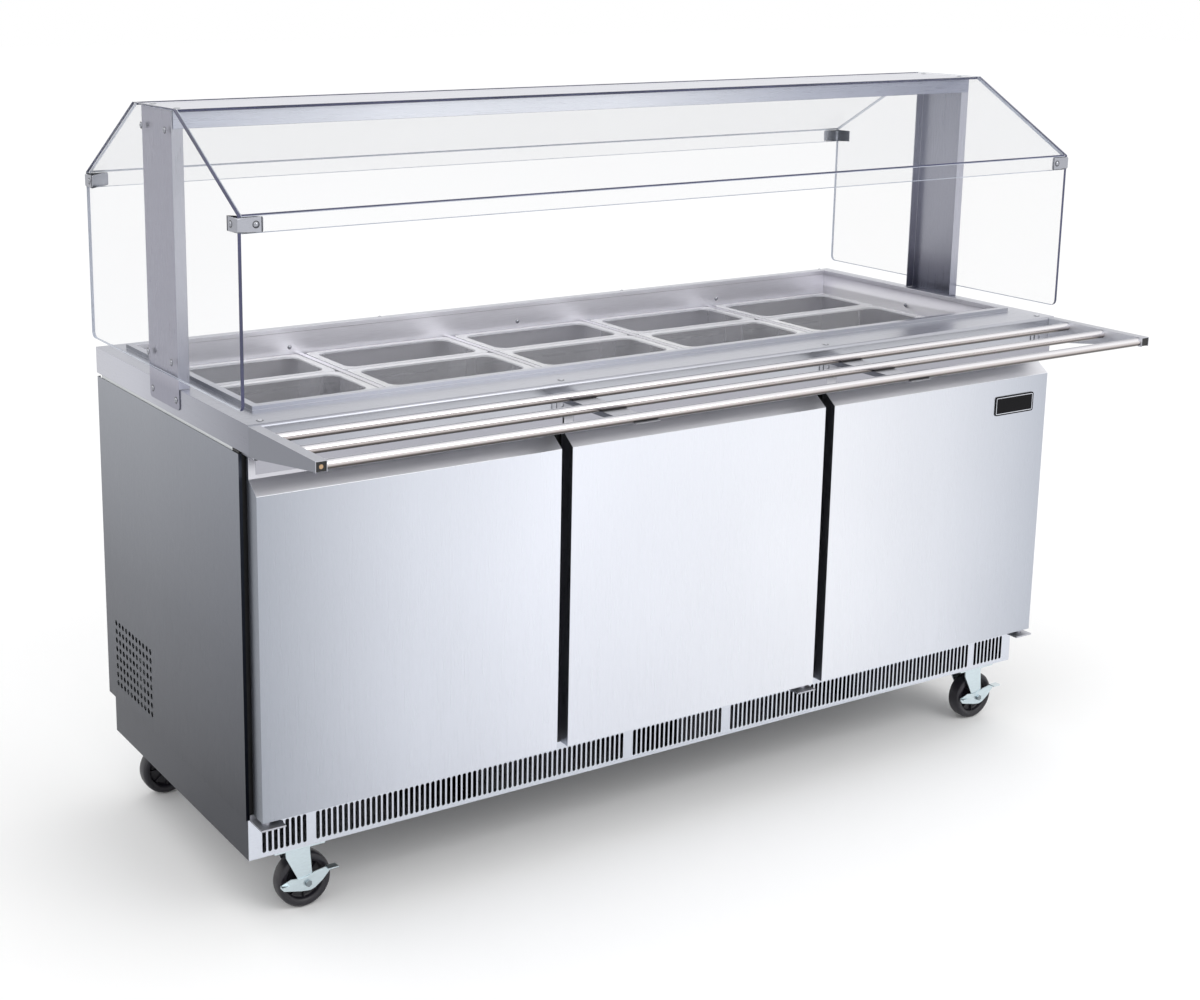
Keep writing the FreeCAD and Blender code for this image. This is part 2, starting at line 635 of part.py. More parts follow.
def pan_form():
    """One third-size pan about its own middle, with its rim's top at height nought."""
    half = ("pan_length / 2 - pan_flange", "pan_width / 2 - pan_flange")
    bore = (f"{half[0]} - pan_wall", f"{half[1]} - pan_wall")
    hull = round_block("pan_hull", half, "-pan_depth", "pan_depth", "pan_corner", "pan_foot")
    flange = round_block("pan_rim_plate", ("pan_length / 2", "pan_width / 2"), "-pan_rim",
                         "pan_rim", "pan_flange_corner")
    hollow = round_block("pan_hollow", bore, "-pan_depth + pan_wall", "pan_depth",
                         "pan_corner - pan_wall", "pan_foot - pan_wall")
    pan = cut("pan_pattern", fuse("pan_outside", [hull, flange]), [hollow])
    doc.recompute()
    return pan.Shape


def pans():
    """Five stations, each with three third-size pans from front to back."""
    form = pan_form()
    for column in range(5):
        x = number("pan_pitch_x") * (column - 2)
        row_y = [number("well_middle") + number("pan_pitch_y") * row for row in (-1, 0, 1)]
        spots = [Vector(x, y, number("pan_top")) for y in row_y]
        solids = [form.translated(spot) for spot in spots]
        shape_piece(solids, f"pans_station_{column + 1}")


# ---------------------------------------------------------------- cabinet
def insulated_tub():
    """Foamed cabinet in one piece, open at the front and top, stepped over the machine room."""
    shell = box("tub_shell", ("-tub_half", "tub_front", "cabinet_bottom"),
                ("2 * tub_half", "cabinet_rear - (tub_front)", "tub_top - cabinet_bottom"))
    machine_room = box("tub_machine_room", ("-tub_half - 1", "step_front", "cabinet_bottom - 1"),
                       ("2 * tub_half + 2", "cabinet_rear", "step_height - cabinet_bottom + 1"))
    inner = "tub_half - tub_wall"
    front_store = box("tub_front_store",
                      (f"-({inner})", "tub_front - 1", "cabinet_bottom + tub_floor"),
                      (f"2 * ({inner})", "step_front - tub_floor - (tub_front) + 1", "tub_top"))
    rear_store = box("tub_rear_store", (f"-({inner})", "tub_front - 1", "step_height + tub_floor"),
                     (f"2 * ({inner})", "cabinet_rear - tub_back - (tub_front) + 1", "tub_top"))
    store = cut("tub_store", shell, [machine_room, front_store, rear_store])
    header = box("tub_header", (f"-({inner}) - 1", "tub_front", "opening_top"),
                 (f"2 * ({inner}) + 2", "well_front - (tub_front) - liner_sheet - seat_gap",
                  "tub_top - (opening_top)"))
    piece(fuse("insulated_tub", [store, header]), "insulated_tub")


def front_frame():
    """Black frame round the three door openings, with the mullions between them."""
    frame = body("front_frame")
    face = sketch(frame, "XZ", "cabinet_front")
    rectangle(face, ("-tub_half", "cabinet_bottom"), ("tub_half", "frame_top"))
    for index in (-1, 0, 1):
        middle = f"door_pitch * {index}"
        rectangle(face, (f"{middle} - opening_width / 2", "opening_bottom"),
                  (f"{middle} + opening_width / 2", "opening_top"))
    pad(frame, face, "frame_depth - seat_gap", reverse=True)
    piece(frame, "front_frame")


def side_panel(label, side):
    """Outer sheet with folded front and rear edges; the left one has the machine room's vent."""
    panel = body(label)
    edge, skin = f"{side} * half_length", f"{side} * (half_length - panel_sheet)"
    hem = f"{side} * (half_length - panel_hem)"
    section = sketch(panel, "XY", "cabinet_bottom")
    outline(section, [(edge, "-cabinet_front - seat_gap - panel_sheet"),
                      (edge, "panel_rear"), (hem, "panel_rear"),
                      (hem, "panel_rear - panel_sheet"), (skin, "panel_rear - panel_sheet"),
                      (skin, "-cabinet_front - seat_gap"), (hem, "-cabinet_front - seat_gap"),
                      (hem, "-cabinet_front - seat_gap - panel_sheet")])
    sheet = pad(panel, section, "panel_top - cabinet_bottom")
    if side < 0:
        holes = sketch(panel, "YZ", "-half_length - 1")
        circle(holes, ("vent_rear", "vent_bottom"), "vent_hole")
        hole = pocket(panel, holes, "panel_sheet + 2", reverse=True)
        pattern(panel, hole, "-Y", "vent_pitch", 11, "Z", "vent_pitch", 9)
    piece(panel, label)
    return sheet


def back_panel():
    """Rear sheet with a field of louvre slots over the machine room."""
    panel = body("back_panel")
    face = sketch(panel, "XZ", "-cabinet_rear - seat_gap - panel_sheet")
    half = "half_length - panel_sheet - seat_gap"
    rectangle(face, (f"-({half})", "base_top + seat_gap"), (half, "panel_top"))
    pad(panel, face, "panel_sheet")
    slots = sketch(panel, "XZ", "-cabinet_rear - seat_gap + 1")
    rectangle(slots, ("-half_length + louvre_edge", "cabinet_bottom + louvre_margin"),
              ("-half_length + louvre_edge + louvre_width", "step_height - louvre_margin"))
    louvre = pocket(panel, slots, "panel_sheet + 2")
    field = number("counter_length - 2 * louvre_edge - louvre_width")
    pattern(panel, louvre, "X", "louvre_pitch", int(field // number("louvre_pitch")))
    piece(panel, "back_panel")


def base_frame():
    """Folded base pan that carries the cabinet and takes the casters."""
    height = "base_top - base_bottom"
    front = "-base_front + grille_sheet + seat_gap"
    outer = box("base_outer", ("-base_half", front, "base_bottom"),
                ("2 * base_half", f"base_rear - ({front})", height))
    inner = box("base_inner", ("-base_half + base_sheet", f"{front} - 1",
                               "base_bottom + base_sheet"),
                ("2 * (base_half - base_sheet)", f"base_rear - base_sheet - ({front}) + 1",
                 height))
    window = box("base_window", ("-base_half + 60", "base_rear - 60", "base_bottom + 25"),
                 ("2 * (base_half - 60)", "120", "30"))
    tray = cut("base_tray", outer, [inner, window])
    ribs = [box(f"base_rib_{index}", (f"base_half * {share} - base_sheet / 2", front,
                                      "base_bottom"),
                ("base_sheet", f"step_front - ({front}) - 5", height))
            for index, share in enumerate((-0.5, 0, 0.5))]
    piece(fuse("base", [tray] + ribs), "base_frame")


def grille_groups():
    """Each group of slots as the formula of its first slot's middle, and its count."""
    side, long, middle = 8, 60, 20
    half_middle = f"slot_pitch * {(middle - 1) / 2}"
    long_start = f"({half_middle} + slot_width + slot_middle_bar)"
    long_end = f"({long_start} + slot_pitch * {long - 1})"
    side_start = f"({long_end} + slot_width + slot_bar)"
    side_end = f"({side_start} + slot_pitch * {side - 1})"
    return [(f"-{side_end}", side), (f"-{long_end}", long), (f"-({half_middle})", middle),
            (long_start, long), (side_start, side)]


def front_grille():
    """Front sheet of the base with five groups of upright slots."""
    grille = body("front_grille")
    face = sketch(grille, "XZ", "base_front")
    rectangle(face, ("-base_half", "base_bottom"), ("base_half", "base_top"))
    pad(grille, face, "grille_sheet", reverse=True)
    for start, count in grille_groups():
        drawing = sketch(grille, "XZ", "base_front + 1")
        slot(drawing, start, "base_bottom + slot_bottom",
             "base_bottom + slot_bottom + slot_length", "slot_width / 2")
        hole = pocket(grille, drawing, "grille_sheet + 2")
        pattern(grille, hole, "X", "slot_pitch", count)
    piece(grille, "front_grille")


# ---------------------------------------------------------------- doors
def door_shell(label, middle, hinge_side):
    """Folded steel front with a full-length finger recess under its top lip."""
    door = body(label)
    left = f"({middle}) - door_width / 2"
    section = sketch(door, "YZ", left)
    lip_back = "door_front + door_sheet"
    outline(section, [("door_front", "door_bottom"), ("door_front", "door_face_top"),
                      ("door_front + pull_depth", "pull_floor"),
                      ("door_front + pull_depth", "door_top - door_sheet"),
                      (lip_back, "door_top - door_sheet"), (lip_back, "door_top - pull_lip"),
                      ("door_front", "door_top - pull_lip"), ("door_front", "door_top"),
                      ("door_back", "door_top"), ("door_back", "door_bottom")])
    pad(door, section, "door_width")
    hollow = sketch(door, "YZ", f"{left} + door_sheet")
    outline(hollow, [("door_back + 1", "door_bottom + door_sheet"),
                     ("door_front + door_sheet", "door_bottom + door_sheet"),
                     ("door_front + door_sheet", "door_face_top - door_sheet"),
                     ("door_front + pull_depth + door_sheet", "pull_floor - door_sheet"),
                     ("door_front + pull_depth + door_sheet", "door_top - door_sheet"),
                     ("door_back + 1", "door_top - door_sheet")])
    pocket(door, hollow, "door_width - 2 * door_sheet", reverse=True)
    holes = sketch(door, "XY", "door_bottom - 1")
    pivot = f"({middle}) + {hinge_side} * (door_width / 2 - pivot_inset)"
    circle(holes, (pivot, "pivot_y"), "pin_radius + pin_play")
    pocket(door, holes, "door_sheet + 2", reverse=True)
    upper = sketch(door, "XY", "door_top + 1")
    circle(upper, (pivot, "pivot_y"), "pin_radius + pin_play")
    pocket(door, upper, "door_sheet + 2")
    piece(door, label)


def door_liner(label, middle):
    """Moulded inner lining that closes the door's back and stands into the opening."""
    half = "door_width / 2"
    flange = box(f"{label}_flange",
                 (f"({middle}) - {half} + door_sheet + seat_gap",
                  "door_back - 2.5", "door_bottom + door_sheet + seat_gap"),
                 ("door_width - 2 * (door_sheet + seat_gap)", "2.5",
                  "door_top - door_bottom - 2 * (door_sheet + seat_gap)"))
    raised = box(f"{label}_raised", (f"({middle}) - {half} + liner_inset", "door_back - 2.5",
                                     "opening_bottom + 12"),
                 ("door_width - 2 * liner_inset", "liner_depth + 2.5",
                  "opening_top - (opening_bottom) - 24"))
    hollow = box(f"{label}_hollow", (f"({middle}) - {half} + liner_inset + 3",
                                     "door_back - 3.5", "opening_bottom + 15"),
                 ("door_width - 2 * liner_inset - 6", "liner_depth + 0.5",
                  "opening_top - (opening_bottom) - 30"))
    whole = fuse(f"{label}_whole", [flange, raised])
    piece(cut(label, whole, [hollow]), label)


def door_seal(label, middle):
    """Magnetic seal: a soft ring between the door and the front frame."""
    seal = body(label)
    start = "door_back + seat_gap"
    face = sketch(seal, "XZ", f"-({start})")
    half = "(door_width / 2 - seal_inset)"
    low, high = "opening_bottom - opening_margin", "opening_top + opening_margin"
    rectangle(face, (f"({middle}) - {half}", low), (f"({middle}) + {half}", high))
    rectangle(face, (f"({middle}) - {half} + seal_width", f"{low} + seal_width"),
              (f"({middle}) + {half} - seal_width", f"{high} - seal_width"))
    pad(seal, face, "-cabinet_front - seat_gap - (door_back + seat_gap)", reverse=True)
    piece(seal, label)


DOORS = {"left": (-1, -1), "centre": (0, 1), "right": (1, 1)}


def doors():
    for name, (index, hinge_side) in DOORS.items():
        middle = f"door_pitch * {index}"
        door_shell(f"door_{name}", middle, hinge_side)
        door_liner(f"door_{name}_liner", middle)
        door_seal(f"door_{name}_seal", middle)


def hinge_brackets():
    """An angle with a pin and a bush below each door, and a plate with a pin above it."""
    hinges = []
    wall = "-cabinet_front - seat_gap"
    for name, (index, hinge_side) in DOORS.items():
        pivot = f"door_pitch * {index} + {hinge_side} * (door_width / 2 - pivot_inset)"
        left = f"{pivot} - hinge_length / 2 - {hinge_side} * hinge_offset"
        shelf = box(f"hinge_{name}_shelf", (left, "door_front - hinge_reach",
                                            "hinge_top - hinge_thick"),
                    ("hinge_length", f"{wall} - (door_front) + hinge_reach", "hinge_thick"))
        leaf = box(f"hinge_{name}_leaf", (left, f"{wall} - hinge_thick",
                                          "hinge_top - hinge_thick"),
                   ("hinge_length", "hinge_thick", "door_bottom - hinge_top + hinge_thick - 1"))
        bush = rod(f"hinge_{name}_bush", (pivot, "pivot_y", "hinge_top - hinge_thick"),
                   "pin_radius * 2", "door_bottom - seat_gap - hinge_top + hinge_thick")
        low_pin = rod(f"hinge_{name}_pin", (pivot, "pivot_y", "hinge_top - hinge_thick"),
                      "pin_radius", "door_bottom - hinge_top + hinge_thick + pin_reach")
        hinges.append(fuse(f"hinge_{name}_lower", [shelf, leaf, bush, low_pin]))
        plate = box(f"hinge_{name}_plate", (left, "door_front + 3", "door_top + 1"),
                    ("hinge_length", f"{wall} - (door_front) - 3", "hinge_thick"))
        high_pin = rod(f"hinge_{name}_upper_pin", (pivot, "pivot_y", "door_top - pin_reach"),
                       "pin_radius", "pin_reach + 1 + hinge_thick")
        hinges.append(fuse(f"hinge_{name}_upper", [plate, high_pin]))
    piece(group("hinge_brackets", hinges), "hinge_brackets")


def badge():
    """Blank plate near the top corner of the right door."""
    right = "door_pitch + door_width / 2 - badge_inset"
    plate = box("badge_plate", (f"{right} - badge_length", "door_front - seat_gap - badge_thick",
                                "door_face_top - badge_drop - badge_height"),
                ("badge_length", "badge_thick", "badge_height"))
    piece(plate, "badge_plate")


# ---------------------------------------------------------------- inside the cabinet
CROSS_WIRES = 5
THIN_WIRES = 18
COIL_SLOTS = 11


def fin_shares():
    """Where the gaps between the packs of a coil's fins start, as shares of its length."""
    first = 1.5 * number("coil_slot")
    return [first + number("coil_slot_pitch") * step for step in range(COIL_SLOTS)]


def shelf_form(index):
    """One wire shelf: a frame with cross wires, and long thin wires welded on top."""
    middle = f"shelf_pitch * {index}"
    x0, y0 = f"{middle} - shelf_length / 2", "shelf_middle - shelf_depth / 2"
    wires = [rod(f"shelf_{index + 1}_side_{side}", (x0, f"{y0} + shelf_depth * {side}",
                                                    "shelf_height"),
                 "shelf_frame_wire", "shelf_length", "X") for side in (0, 1)]
    for wire in range(CROSS_WIRES):
        share = f"(shelf_length - 2 * shelf_cross_inset) * {wire / (CROSS_WIRES - 1)}"
        wires.append(rod(f"shelf_{index + 1}_cross_{wire}",
                         (f"{x0} + shelf_cross_inset + {share}", y0, "shelf_height"),
                         "shelf_cross_wire", "shelf_depth", "Y"))
    for wire in range(1, THIN_WIRES + 1):
        wires.append(rod(f"shelf_{index + 1}_wire_{wire}",
                         (x0, f"{y0} + shelf_depth * {wire / (THIN_WIRES + 1)}",
                          "shelf_height + shelf_frame_wire + shelf_wire - shelf_wire_sink"),
                         "shelf_wire", "shelf_length", "X"))
    return fuse(f"wire_shelf_{index + 1}", wires)


def shelves():
    piece(group("wire_shelves", [shelf_form(index) for index in (-1, 0, 1)]), "wire_shelves")


def shelf_strips():
    """Upright strips at the four corners of each shelf, each with the clip under the shelf."""
    strips = []
    clip_z = "shelf_height - shelf_frame_wire - seat_gap - strip_clip"
    rear_y = "cabinet_rear - tub_back - seat_gap - strip_depth"
    front_y = "tub_front + seat_gap"
    for index in (-1, 0, 1):
        for side in (-1, 1):
            x = f"shelf_pitch * {index} + {side} * (shelf_length - strip_width) / 2"
            if index == side:
                x = f"{side} * (tub_half - tub_wall - seat_gap - strip_width / 2)"
            x = f"{x} - strip_width / 2"
            name = f"{index + 2}_{side + 2}"
            rear = box(f"strip_rear_{name}", (x, rear_y, "step_height + tub_floor + 5"),
                       ("strip_width", "strip_depth", "strip_rear"))
            clip = box(f"strip_rear_clip_{name}",
                       (x, "shelf_middle + shelf_depth / 2 - strip_grip", clip_z),
                       ("strip_width", f"{rear_y} - (shelf_middle + shelf_depth / 2)"
                        " + strip_grip + 1", "strip_clip"))
            strips.append(fuse(f"strip_rear_whole_{name}", [rear, clip]))
            front = box(f"strip_front_{name}", (x, front_y, "cabinet_bottom + tub_floor + 10"),
                        ("strip_width", "strip_depth", "strip_front"))
            front_clip = box(f"strip_front_clip_{name}", (x, front_y, clip_z),
                             ("strip_width", "shelf_middle - shelf_depth / 2 - (tub_front)"
                              " - seat_gap + strip_grip", "strip_clip"))
            strips.append(fuse(f"strip_front_whole_{name}", [front, front_clip]))
    piece(group("shelf_strips", strips), "shelf_strips")


def evaporator():
    """Cooling coil and its cover with the fan's opening, on the cabinet's rear wall."""
    left = "coil_middle - coil_length / 2"
    core = box("coil_core", (left, "coil_back - coil_depth", "coil_bottom"),
               ("coil_length", "coil_depth", "coil_height"))
    gaps = [box(f"coil_gap_{index}", (f"{left} + coil_length * {share}",
                                      "coil_back - coil_depth - 1", "coil_bottom + coil_edge"),
                ("coil_length * coil_slot", "coil_depth - 6", "coil_height - 2 * coil_edge"))
            for index, share in enumerate(fin_shares())]
    piece(cut("evaporator_coil", core, gaps), "evaporator_coil")
    cover = body("evaporator_cover")
    section = sketch(cover, "XY", "coil_bottom - cover_gap")
    half = "(coil_length / 2 + cover_side)"
    skin = "liner_sheet"
    outline(section, [(f"coil_middle - {half}", "coil_back"),
                      (f"coil_middle - {half}", "cover_front"),
                      (f"coil_middle + {half}", "cover_front"),
                      (f"coil_middle + {half}", "coil_back"),
                      (f"coil_middle + {half} - {skin}", "coil_back"),
                      (f"coil_middle + {half} - {skin}", f"cover_front + {skin}"),
                      (f"coil_middle - {half} + {skin}", f"cover_front + {skin}"),
                      (f"coil_middle - {half} + {skin}", "coil_back")])
    pad(cover, section, "coil_height + 2 * cover_gap")
    hole = sketch(cover, "XZ", "-(cover_front) + 1")
    circle(hole, ("coil_middle", "coil_bottom + coil_height / 2"), "fan_radius + fan_ring")
    pocket(cover, hole, f"{skin} + 2")
    piece(cover, "evaporator_cover")


def fan_form():
    """Hub and four pitched blades about a fan's own shaft, which runs along Z."""
    hub_size, root = number("fan_hub"), number("fan_blade_root")
    wide, thick = number("fan_blade_width"), number("fan_blade_sheet")
    hub = Part.makeCylinder(hub_size, hub_size, Vector(0, 0, -hub_size / 2))
    blades = []
    for index in range(FAN_BLADES):
        blade = Part.makeBox(number("fan_radius") - root, wide, thick,
                             Vector(root, -wide / 2, -thick / 2))
        blade.rotate(Vector(), Vector(1, 0, 0), BLADE_PITCH)
        blade.rotate(Vector(), Vector(0, 0, 1), 360 / FAN_BLADES * index)
        blades.append(blade)
    bore = Part.makeCylinder(number("shaft_radius + shaft_play"), 3 * hub_size,
                             Vector(0, 0, -1.5 * hub_size))
    return hub.fuse(blades).cut(bore).removeSplitter()


FAN_BLADES = 4
BLADE_PITCH = 24


def fans():
    """The evaporator fan turns about Y, the condenser fan about X."""
    form = fan_form()
    form.rotate(Vector(), Vector(1, 0, 0), 90)
    form.translate(Vector(number("coil_middle"), number("small_fan_back"),
                          number("coil_bottom + coil_height / 2")))
    shape_piece([form], "evaporator_fan")
    form = fan_form()
    form.rotate(Vector(), Vector(0, 1, 0), 90)
    form.translate(Vector(number("large_fan_place"), number("condenser_middle"),
                          number("large_fan_height")))
    shape_piece([form], "condenser_fan")


def fan_motors():
    """Two motors with their shafts, each on a bracket: one in the cover, one on the base."""
    along_x, along_y = Vector(1, 0, 0), Vector(0, 1, 0)
    shaft_radius, before = number("shaft_radius"), number("shaft_before")
    behind = number("motor_behind")
    x, y, z = (number(text) for text in ("coil_middle", "small_fan_back",
                                         "coil_bottom + coil_height / 2"))
    motor = Part.makeCylinder(number("small_motor"), number("small_motor_length"),
                              Vector(x, y + behind, z), along_y)
    shaft = Part.makeCylinder(shaft_radius, before + behind + 3, Vector(x, y - before, z),
                              along_y)
    start = y + behind + number("small_motor_length") - 1
    strap = Part.makeBox(40, number("coil_back - coil_depth") - start, 20,
                         Vector(x - 20, start, z - 10))
    evaporator_motor = motor.fuse([shaft, strap]).removeSplitter()
    x, y, z = (number(text) for text in ("large_fan_place", "condenser_middle",
                                         "large_fan_height"))
    motor = Part.makeCylinder(number("large_motor"), number("large_motor_length"),
                              Vector(x + behind, y, z), along_x)
    shaft = Part.makeCylinder(shaft_radius, before + behind + 3, Vector(x - before, y, z),
                              along_x)
    floor = number("machine_floor")
    leg = Part.makeBox(4, 60, z - floor, Vector(x + 20, y - 30, floor))
    foot = Part.makeBox(34, 60, 3, Vector(x + 20, y - 30, floor))
    condenser_motor = motor.fuse([shaft, leg, foot]).removeSplitter()
    shape_piece([evaporator_motor, condenser_motor], "fan_motors")


def machine_room():
    """Condenser with its shroud behind the side vent, compressor, drain pan and thermostat."""
    floor, x0, y0 = "machine_floor", "condenser_left", "machine_front"
    core = box("condenser_core", (x0, y0, floor),
               ("condenser_thick", "condenser_depth", "condenser_height"))
    gaps = [box(f"condenser_gap_{index}", (f"{x0} - 1", f"{y0} + condenser_depth * {share}",
                                           f"{floor} + coil_edge"),
                ("condenser_thick + 2", "condenser_depth * coil_slot",
                 "condenser_height - 2 * coil_edge"))
            for index, share in enumerate(fin_shares())]
    piece(cut("condenser_coil", core, gaps), "condenser_coil")
    shroud = body("fan_shroud")
    section = sketch(shroud, "YZ", f"{x0} + condenser_thick + seat_gap")
    rectangle(section, (y0, floor), (f"{y0} + condenser_depth", f"{floor} + condenser_height"))
    circle(section, ("condenser_middle", "large_fan_height"), "fan_radius + fan_ring")
    pad(shroud, section, "5")
    piece(shroud, "fan_shroud")
    compressor()
    tray = box("drain_tray", ("-drain_place", y0, floor),
               ("drain_length", "drain_width", "drain_height"))
    inside = box("drain_inside", ("-drain_place + drain_wall", f"{y0} + drain_wall",
                                  f"{floor} + drain_wall"),
                 ("drain_length - 2 * drain_wall", "drain_width - 2 * drain_wall",
                  "drain_height"))
    piece(cut("drain_pan", tray, [inside]), "drain_pan")
    case = box("thermostat_case",
               ("half_length - thermostat_place",
                "base_rear - base_sheet - seat_gap - thermostat_depth", floor),
               ("thermostat_length", "thermostat_depth", "thermostat_height"))
    piece(case, "thermostat")


def compressor():
    """Hermetic compressor: a domed can on a foot plate with two pipe stubs."""
    radius, height = number("compressor_radius"), number("compressor_height")
    floor, lift = number("machine_floor"), number("compressor_lift")
    x, y = number("-base_half + compressor_place"), number("condenser_middle")
    straight = height - radius * 0.55
    can = Part.makeCylinder(radius, straight, Vector(x, y, floor + lift))
    dome_top = floor + lift + straight
    ball = Part.makeSphere(radius * 1.15, Vector(x, y, dome_top - radius * 0.62))
    keep = Part.makeCylinder(radius, height * 2, Vector(x, y, dome_top - 1))
    foot = Part.makeBox(2 * radius + 20, 2 * radius - 20, 3,
                        Vector(x - radius - 10, y - radius + 10, floor + lift - 3))
    feet = [Part.makeCylinder(12, lift - 2, Vector(x + sx * radius, y + sy * (radius - 24),
                                                   floor))
            for sx in (-1, 1) for sy in (-1, 1)]
    stubs = [Part.makeCylinder(5, radius + 22, Vector(x, y, floor + lift + rise),
                               Vector(1, 0, 0)) for rise in (40, 90)]
    solid = can.fuse([ball.common(keep), foot] + feet + stubs).removeSplitter()
    shape_piece([solid], "compressor")


# ---------------------------------------------------------------- guard
def post(label, side):
    """C-shaped post; its web runs down over the counter's edge as a plate."""
    channel = body(label)
    web, skin = f"{side} * web_outer", f"{side} * (web_outer - post_sheet)"
    lip = f"{side} * (web_outer - post_flange)"
    half = "post_width / 2"
    section = sketch(channel, "XY", "counter_top + seat_gap")
    outline(section, [(web, f"-{half}"), (web, half), (lip, half), (lip, f"{half} - post_sheet"),
                      (skin, f"{half} - post_sheet"), (skin, f"-{half} + post_sheet"),
                      (lip, f"-{half} + post_sheet"), (lip, f"-{half}")])
    pad(channel, section, "cap_top - post_sheet - seat_gap - (counter_top + seat_gap)")
    plate = sketch(channel, "YZ", skin if side > 0 else web)
    rectangle(plate, (f"-{half}", "counter_top - post_overlap"), (half, "counter_top + 5"))
    tongue = pad(channel, plate, "post_sheet")
    low = number("counter_top - post_overlap")
    fillet(channel, tongue, "8", lambda a, b: near(a.z, low) and near(b.z, low)
           and near(a.y, b.y))
    piece(channel, label)


def top_beam():
    """Channel across the posts under a wider top plate, which the glass leans against."""
    length = "2 * (half_length - seat_gap)"
    beam = body("top_beam")
    section = sketch(beam, "YZ", "-half_length + seat_gap")
    cap = "(beam_half + cap_overlap)"
    under = "cap_top - post_sheet"
    outline(section, [(f"-{cap}", "cap_top"), (cap, "cap_top"), (cap, under),
                      ("beam_half", under), ("beam_half", "cap_top - beam_height"),
                      ("beam_half - post_sheet", "cap_top - beam_height"),
                      ("beam_half - post_sheet", under), ("-beam_half + post_sheet", under),
                      ("-beam_half + post_sheet", "cap_top - beam_height"),
                      ("-beam_half", "cap_top - beam_height"), ("-beam_half", under),
                      (f"-{cap}", under)])
    pad(beam, section, length)
    piece(beam, "top_beam")


def end_glass(label, side):
    """House-shaped end glass outside the post."""
    glass = body(label)
    start = "glass_inner" if side > 0 else "-glass_inner - glass_thick"
    face = sketch(glass, "YZ", start)
    outline(face, [("-guard_half", "guard_foot"), ("guard_half", "guard_foot"),
                   ("guard_half", "guard_knee"), ("guard_flat", "guard_top"),
                   ("-guard_flat", "guard_top"), ("-guard_half", "guard_knee")])
    sheet = pad(glass, face, "glass_thick")
    low = number("guard_foot")
    fillet(glass, sheet, "glass_corner", lambda a, b: near(a.z, low) and near(b.z, low)
           and near(a.y, b.y))
    piece(glass, label)


def sloping_glass(label, side):
    """Bent glass: a slope from the beam to the knee and an upright lip below it."""
    glass = body(label)
    face = sketch(glass, "YZ", "-glass_inner + 2 * seat_gap")
    thick = "glass_thick"
    inner_edge = "guard_half - glass_thick"
    # Going inwards by the glass's thickness, the slope's under side lies this far below it.
    drop = f"{thick} / cos(atan(slope))"
    inner_knee = f"guard_knee + slope * {thick} - {drop}"
    cut_y = f"guard_flat - {thick} * sin(atan(slope))"
    cut_z = f"guard_top - {thick} * cos(atan(slope))"
    outline(face, [(f"{side} * guard_half", "guard_knee - guard_lip"),
                   (f"{side} * guard_half", "guard_knee"), (f"{side} * guard_flat", "guard_top"),
                   (f"{side} * ({cut_y})", cut_z), (f"{side} * ({inner_edge})", inner_knee),
                   (f"{side} * ({inner_edge})", "guard_knee - guard_lip")])
    pad(glass, face, "2 * (glass_inner - 2 * seat_gap)")
    piece(glass, label)


def glass_clips():
    """Four angle clips that tie the sloping glass to the end glass."""
    clips = []
    sheet = number("clip_sheet")
    low = number("clip_bottom")
    tall = number("clip_height")
    face = number("guard_half + seat_gap")
    end = number("glass_inner + glass_thick + seat_gap")
    for side_x in (-1, 1):
        for side_y in (-1, 1):
            front = Part.makeBox(number("clip_length"), sheet, tall,
                                 Vector(end + sheet - number("clip_length"), face, low))
            flank = Part.makeBox(sheet, number("clip_side"), tall,
                                 Vector(end, face + sheet - number("clip_side"), low))
            angle = front.fuse(flank).removeSplitter()
            corners = [edge for edge in angle.Edges if len(edge.Vertexes) == 2
                       and near(edge.Vertexes[0].Point.z, edge.Vertexes[1].Point.z - tall)
                       and near(edge.Vertexes[0].Point.x, end + sheet)
                       and near(edge.Vertexes[0].Point.y, face + sheet)]
            angle = angle.makeFillet(sheet, corners) if corners else angle
            turned = angle
            if side_x < 0:
                turned = turned.mirror(Vector(), Vector(1, 0, 0))
            if side_y < 0:
                turned = turned.mirror(Vector(), Vector(0, 1, 0))
            clips.append(turned)
    shape_piece(clips, "glass_clips")


def dome(spot, direction, radius=None):
    """Head of a dome screw standing on a face."""
    radius = radius or number("screw_head")
    rise = number("screw_rise")
    ball = (radius ** 2 + rise ** 2) / (2 * rise)
    toward = Vector(direction)
    toward.normalize()
    sphere = Part.makeSphere(ball, spot + toward * (rise - ball))
    keep = Part.makeCylinder(radius, rise + 1, spot, toward)
    return sphere.common(keep)


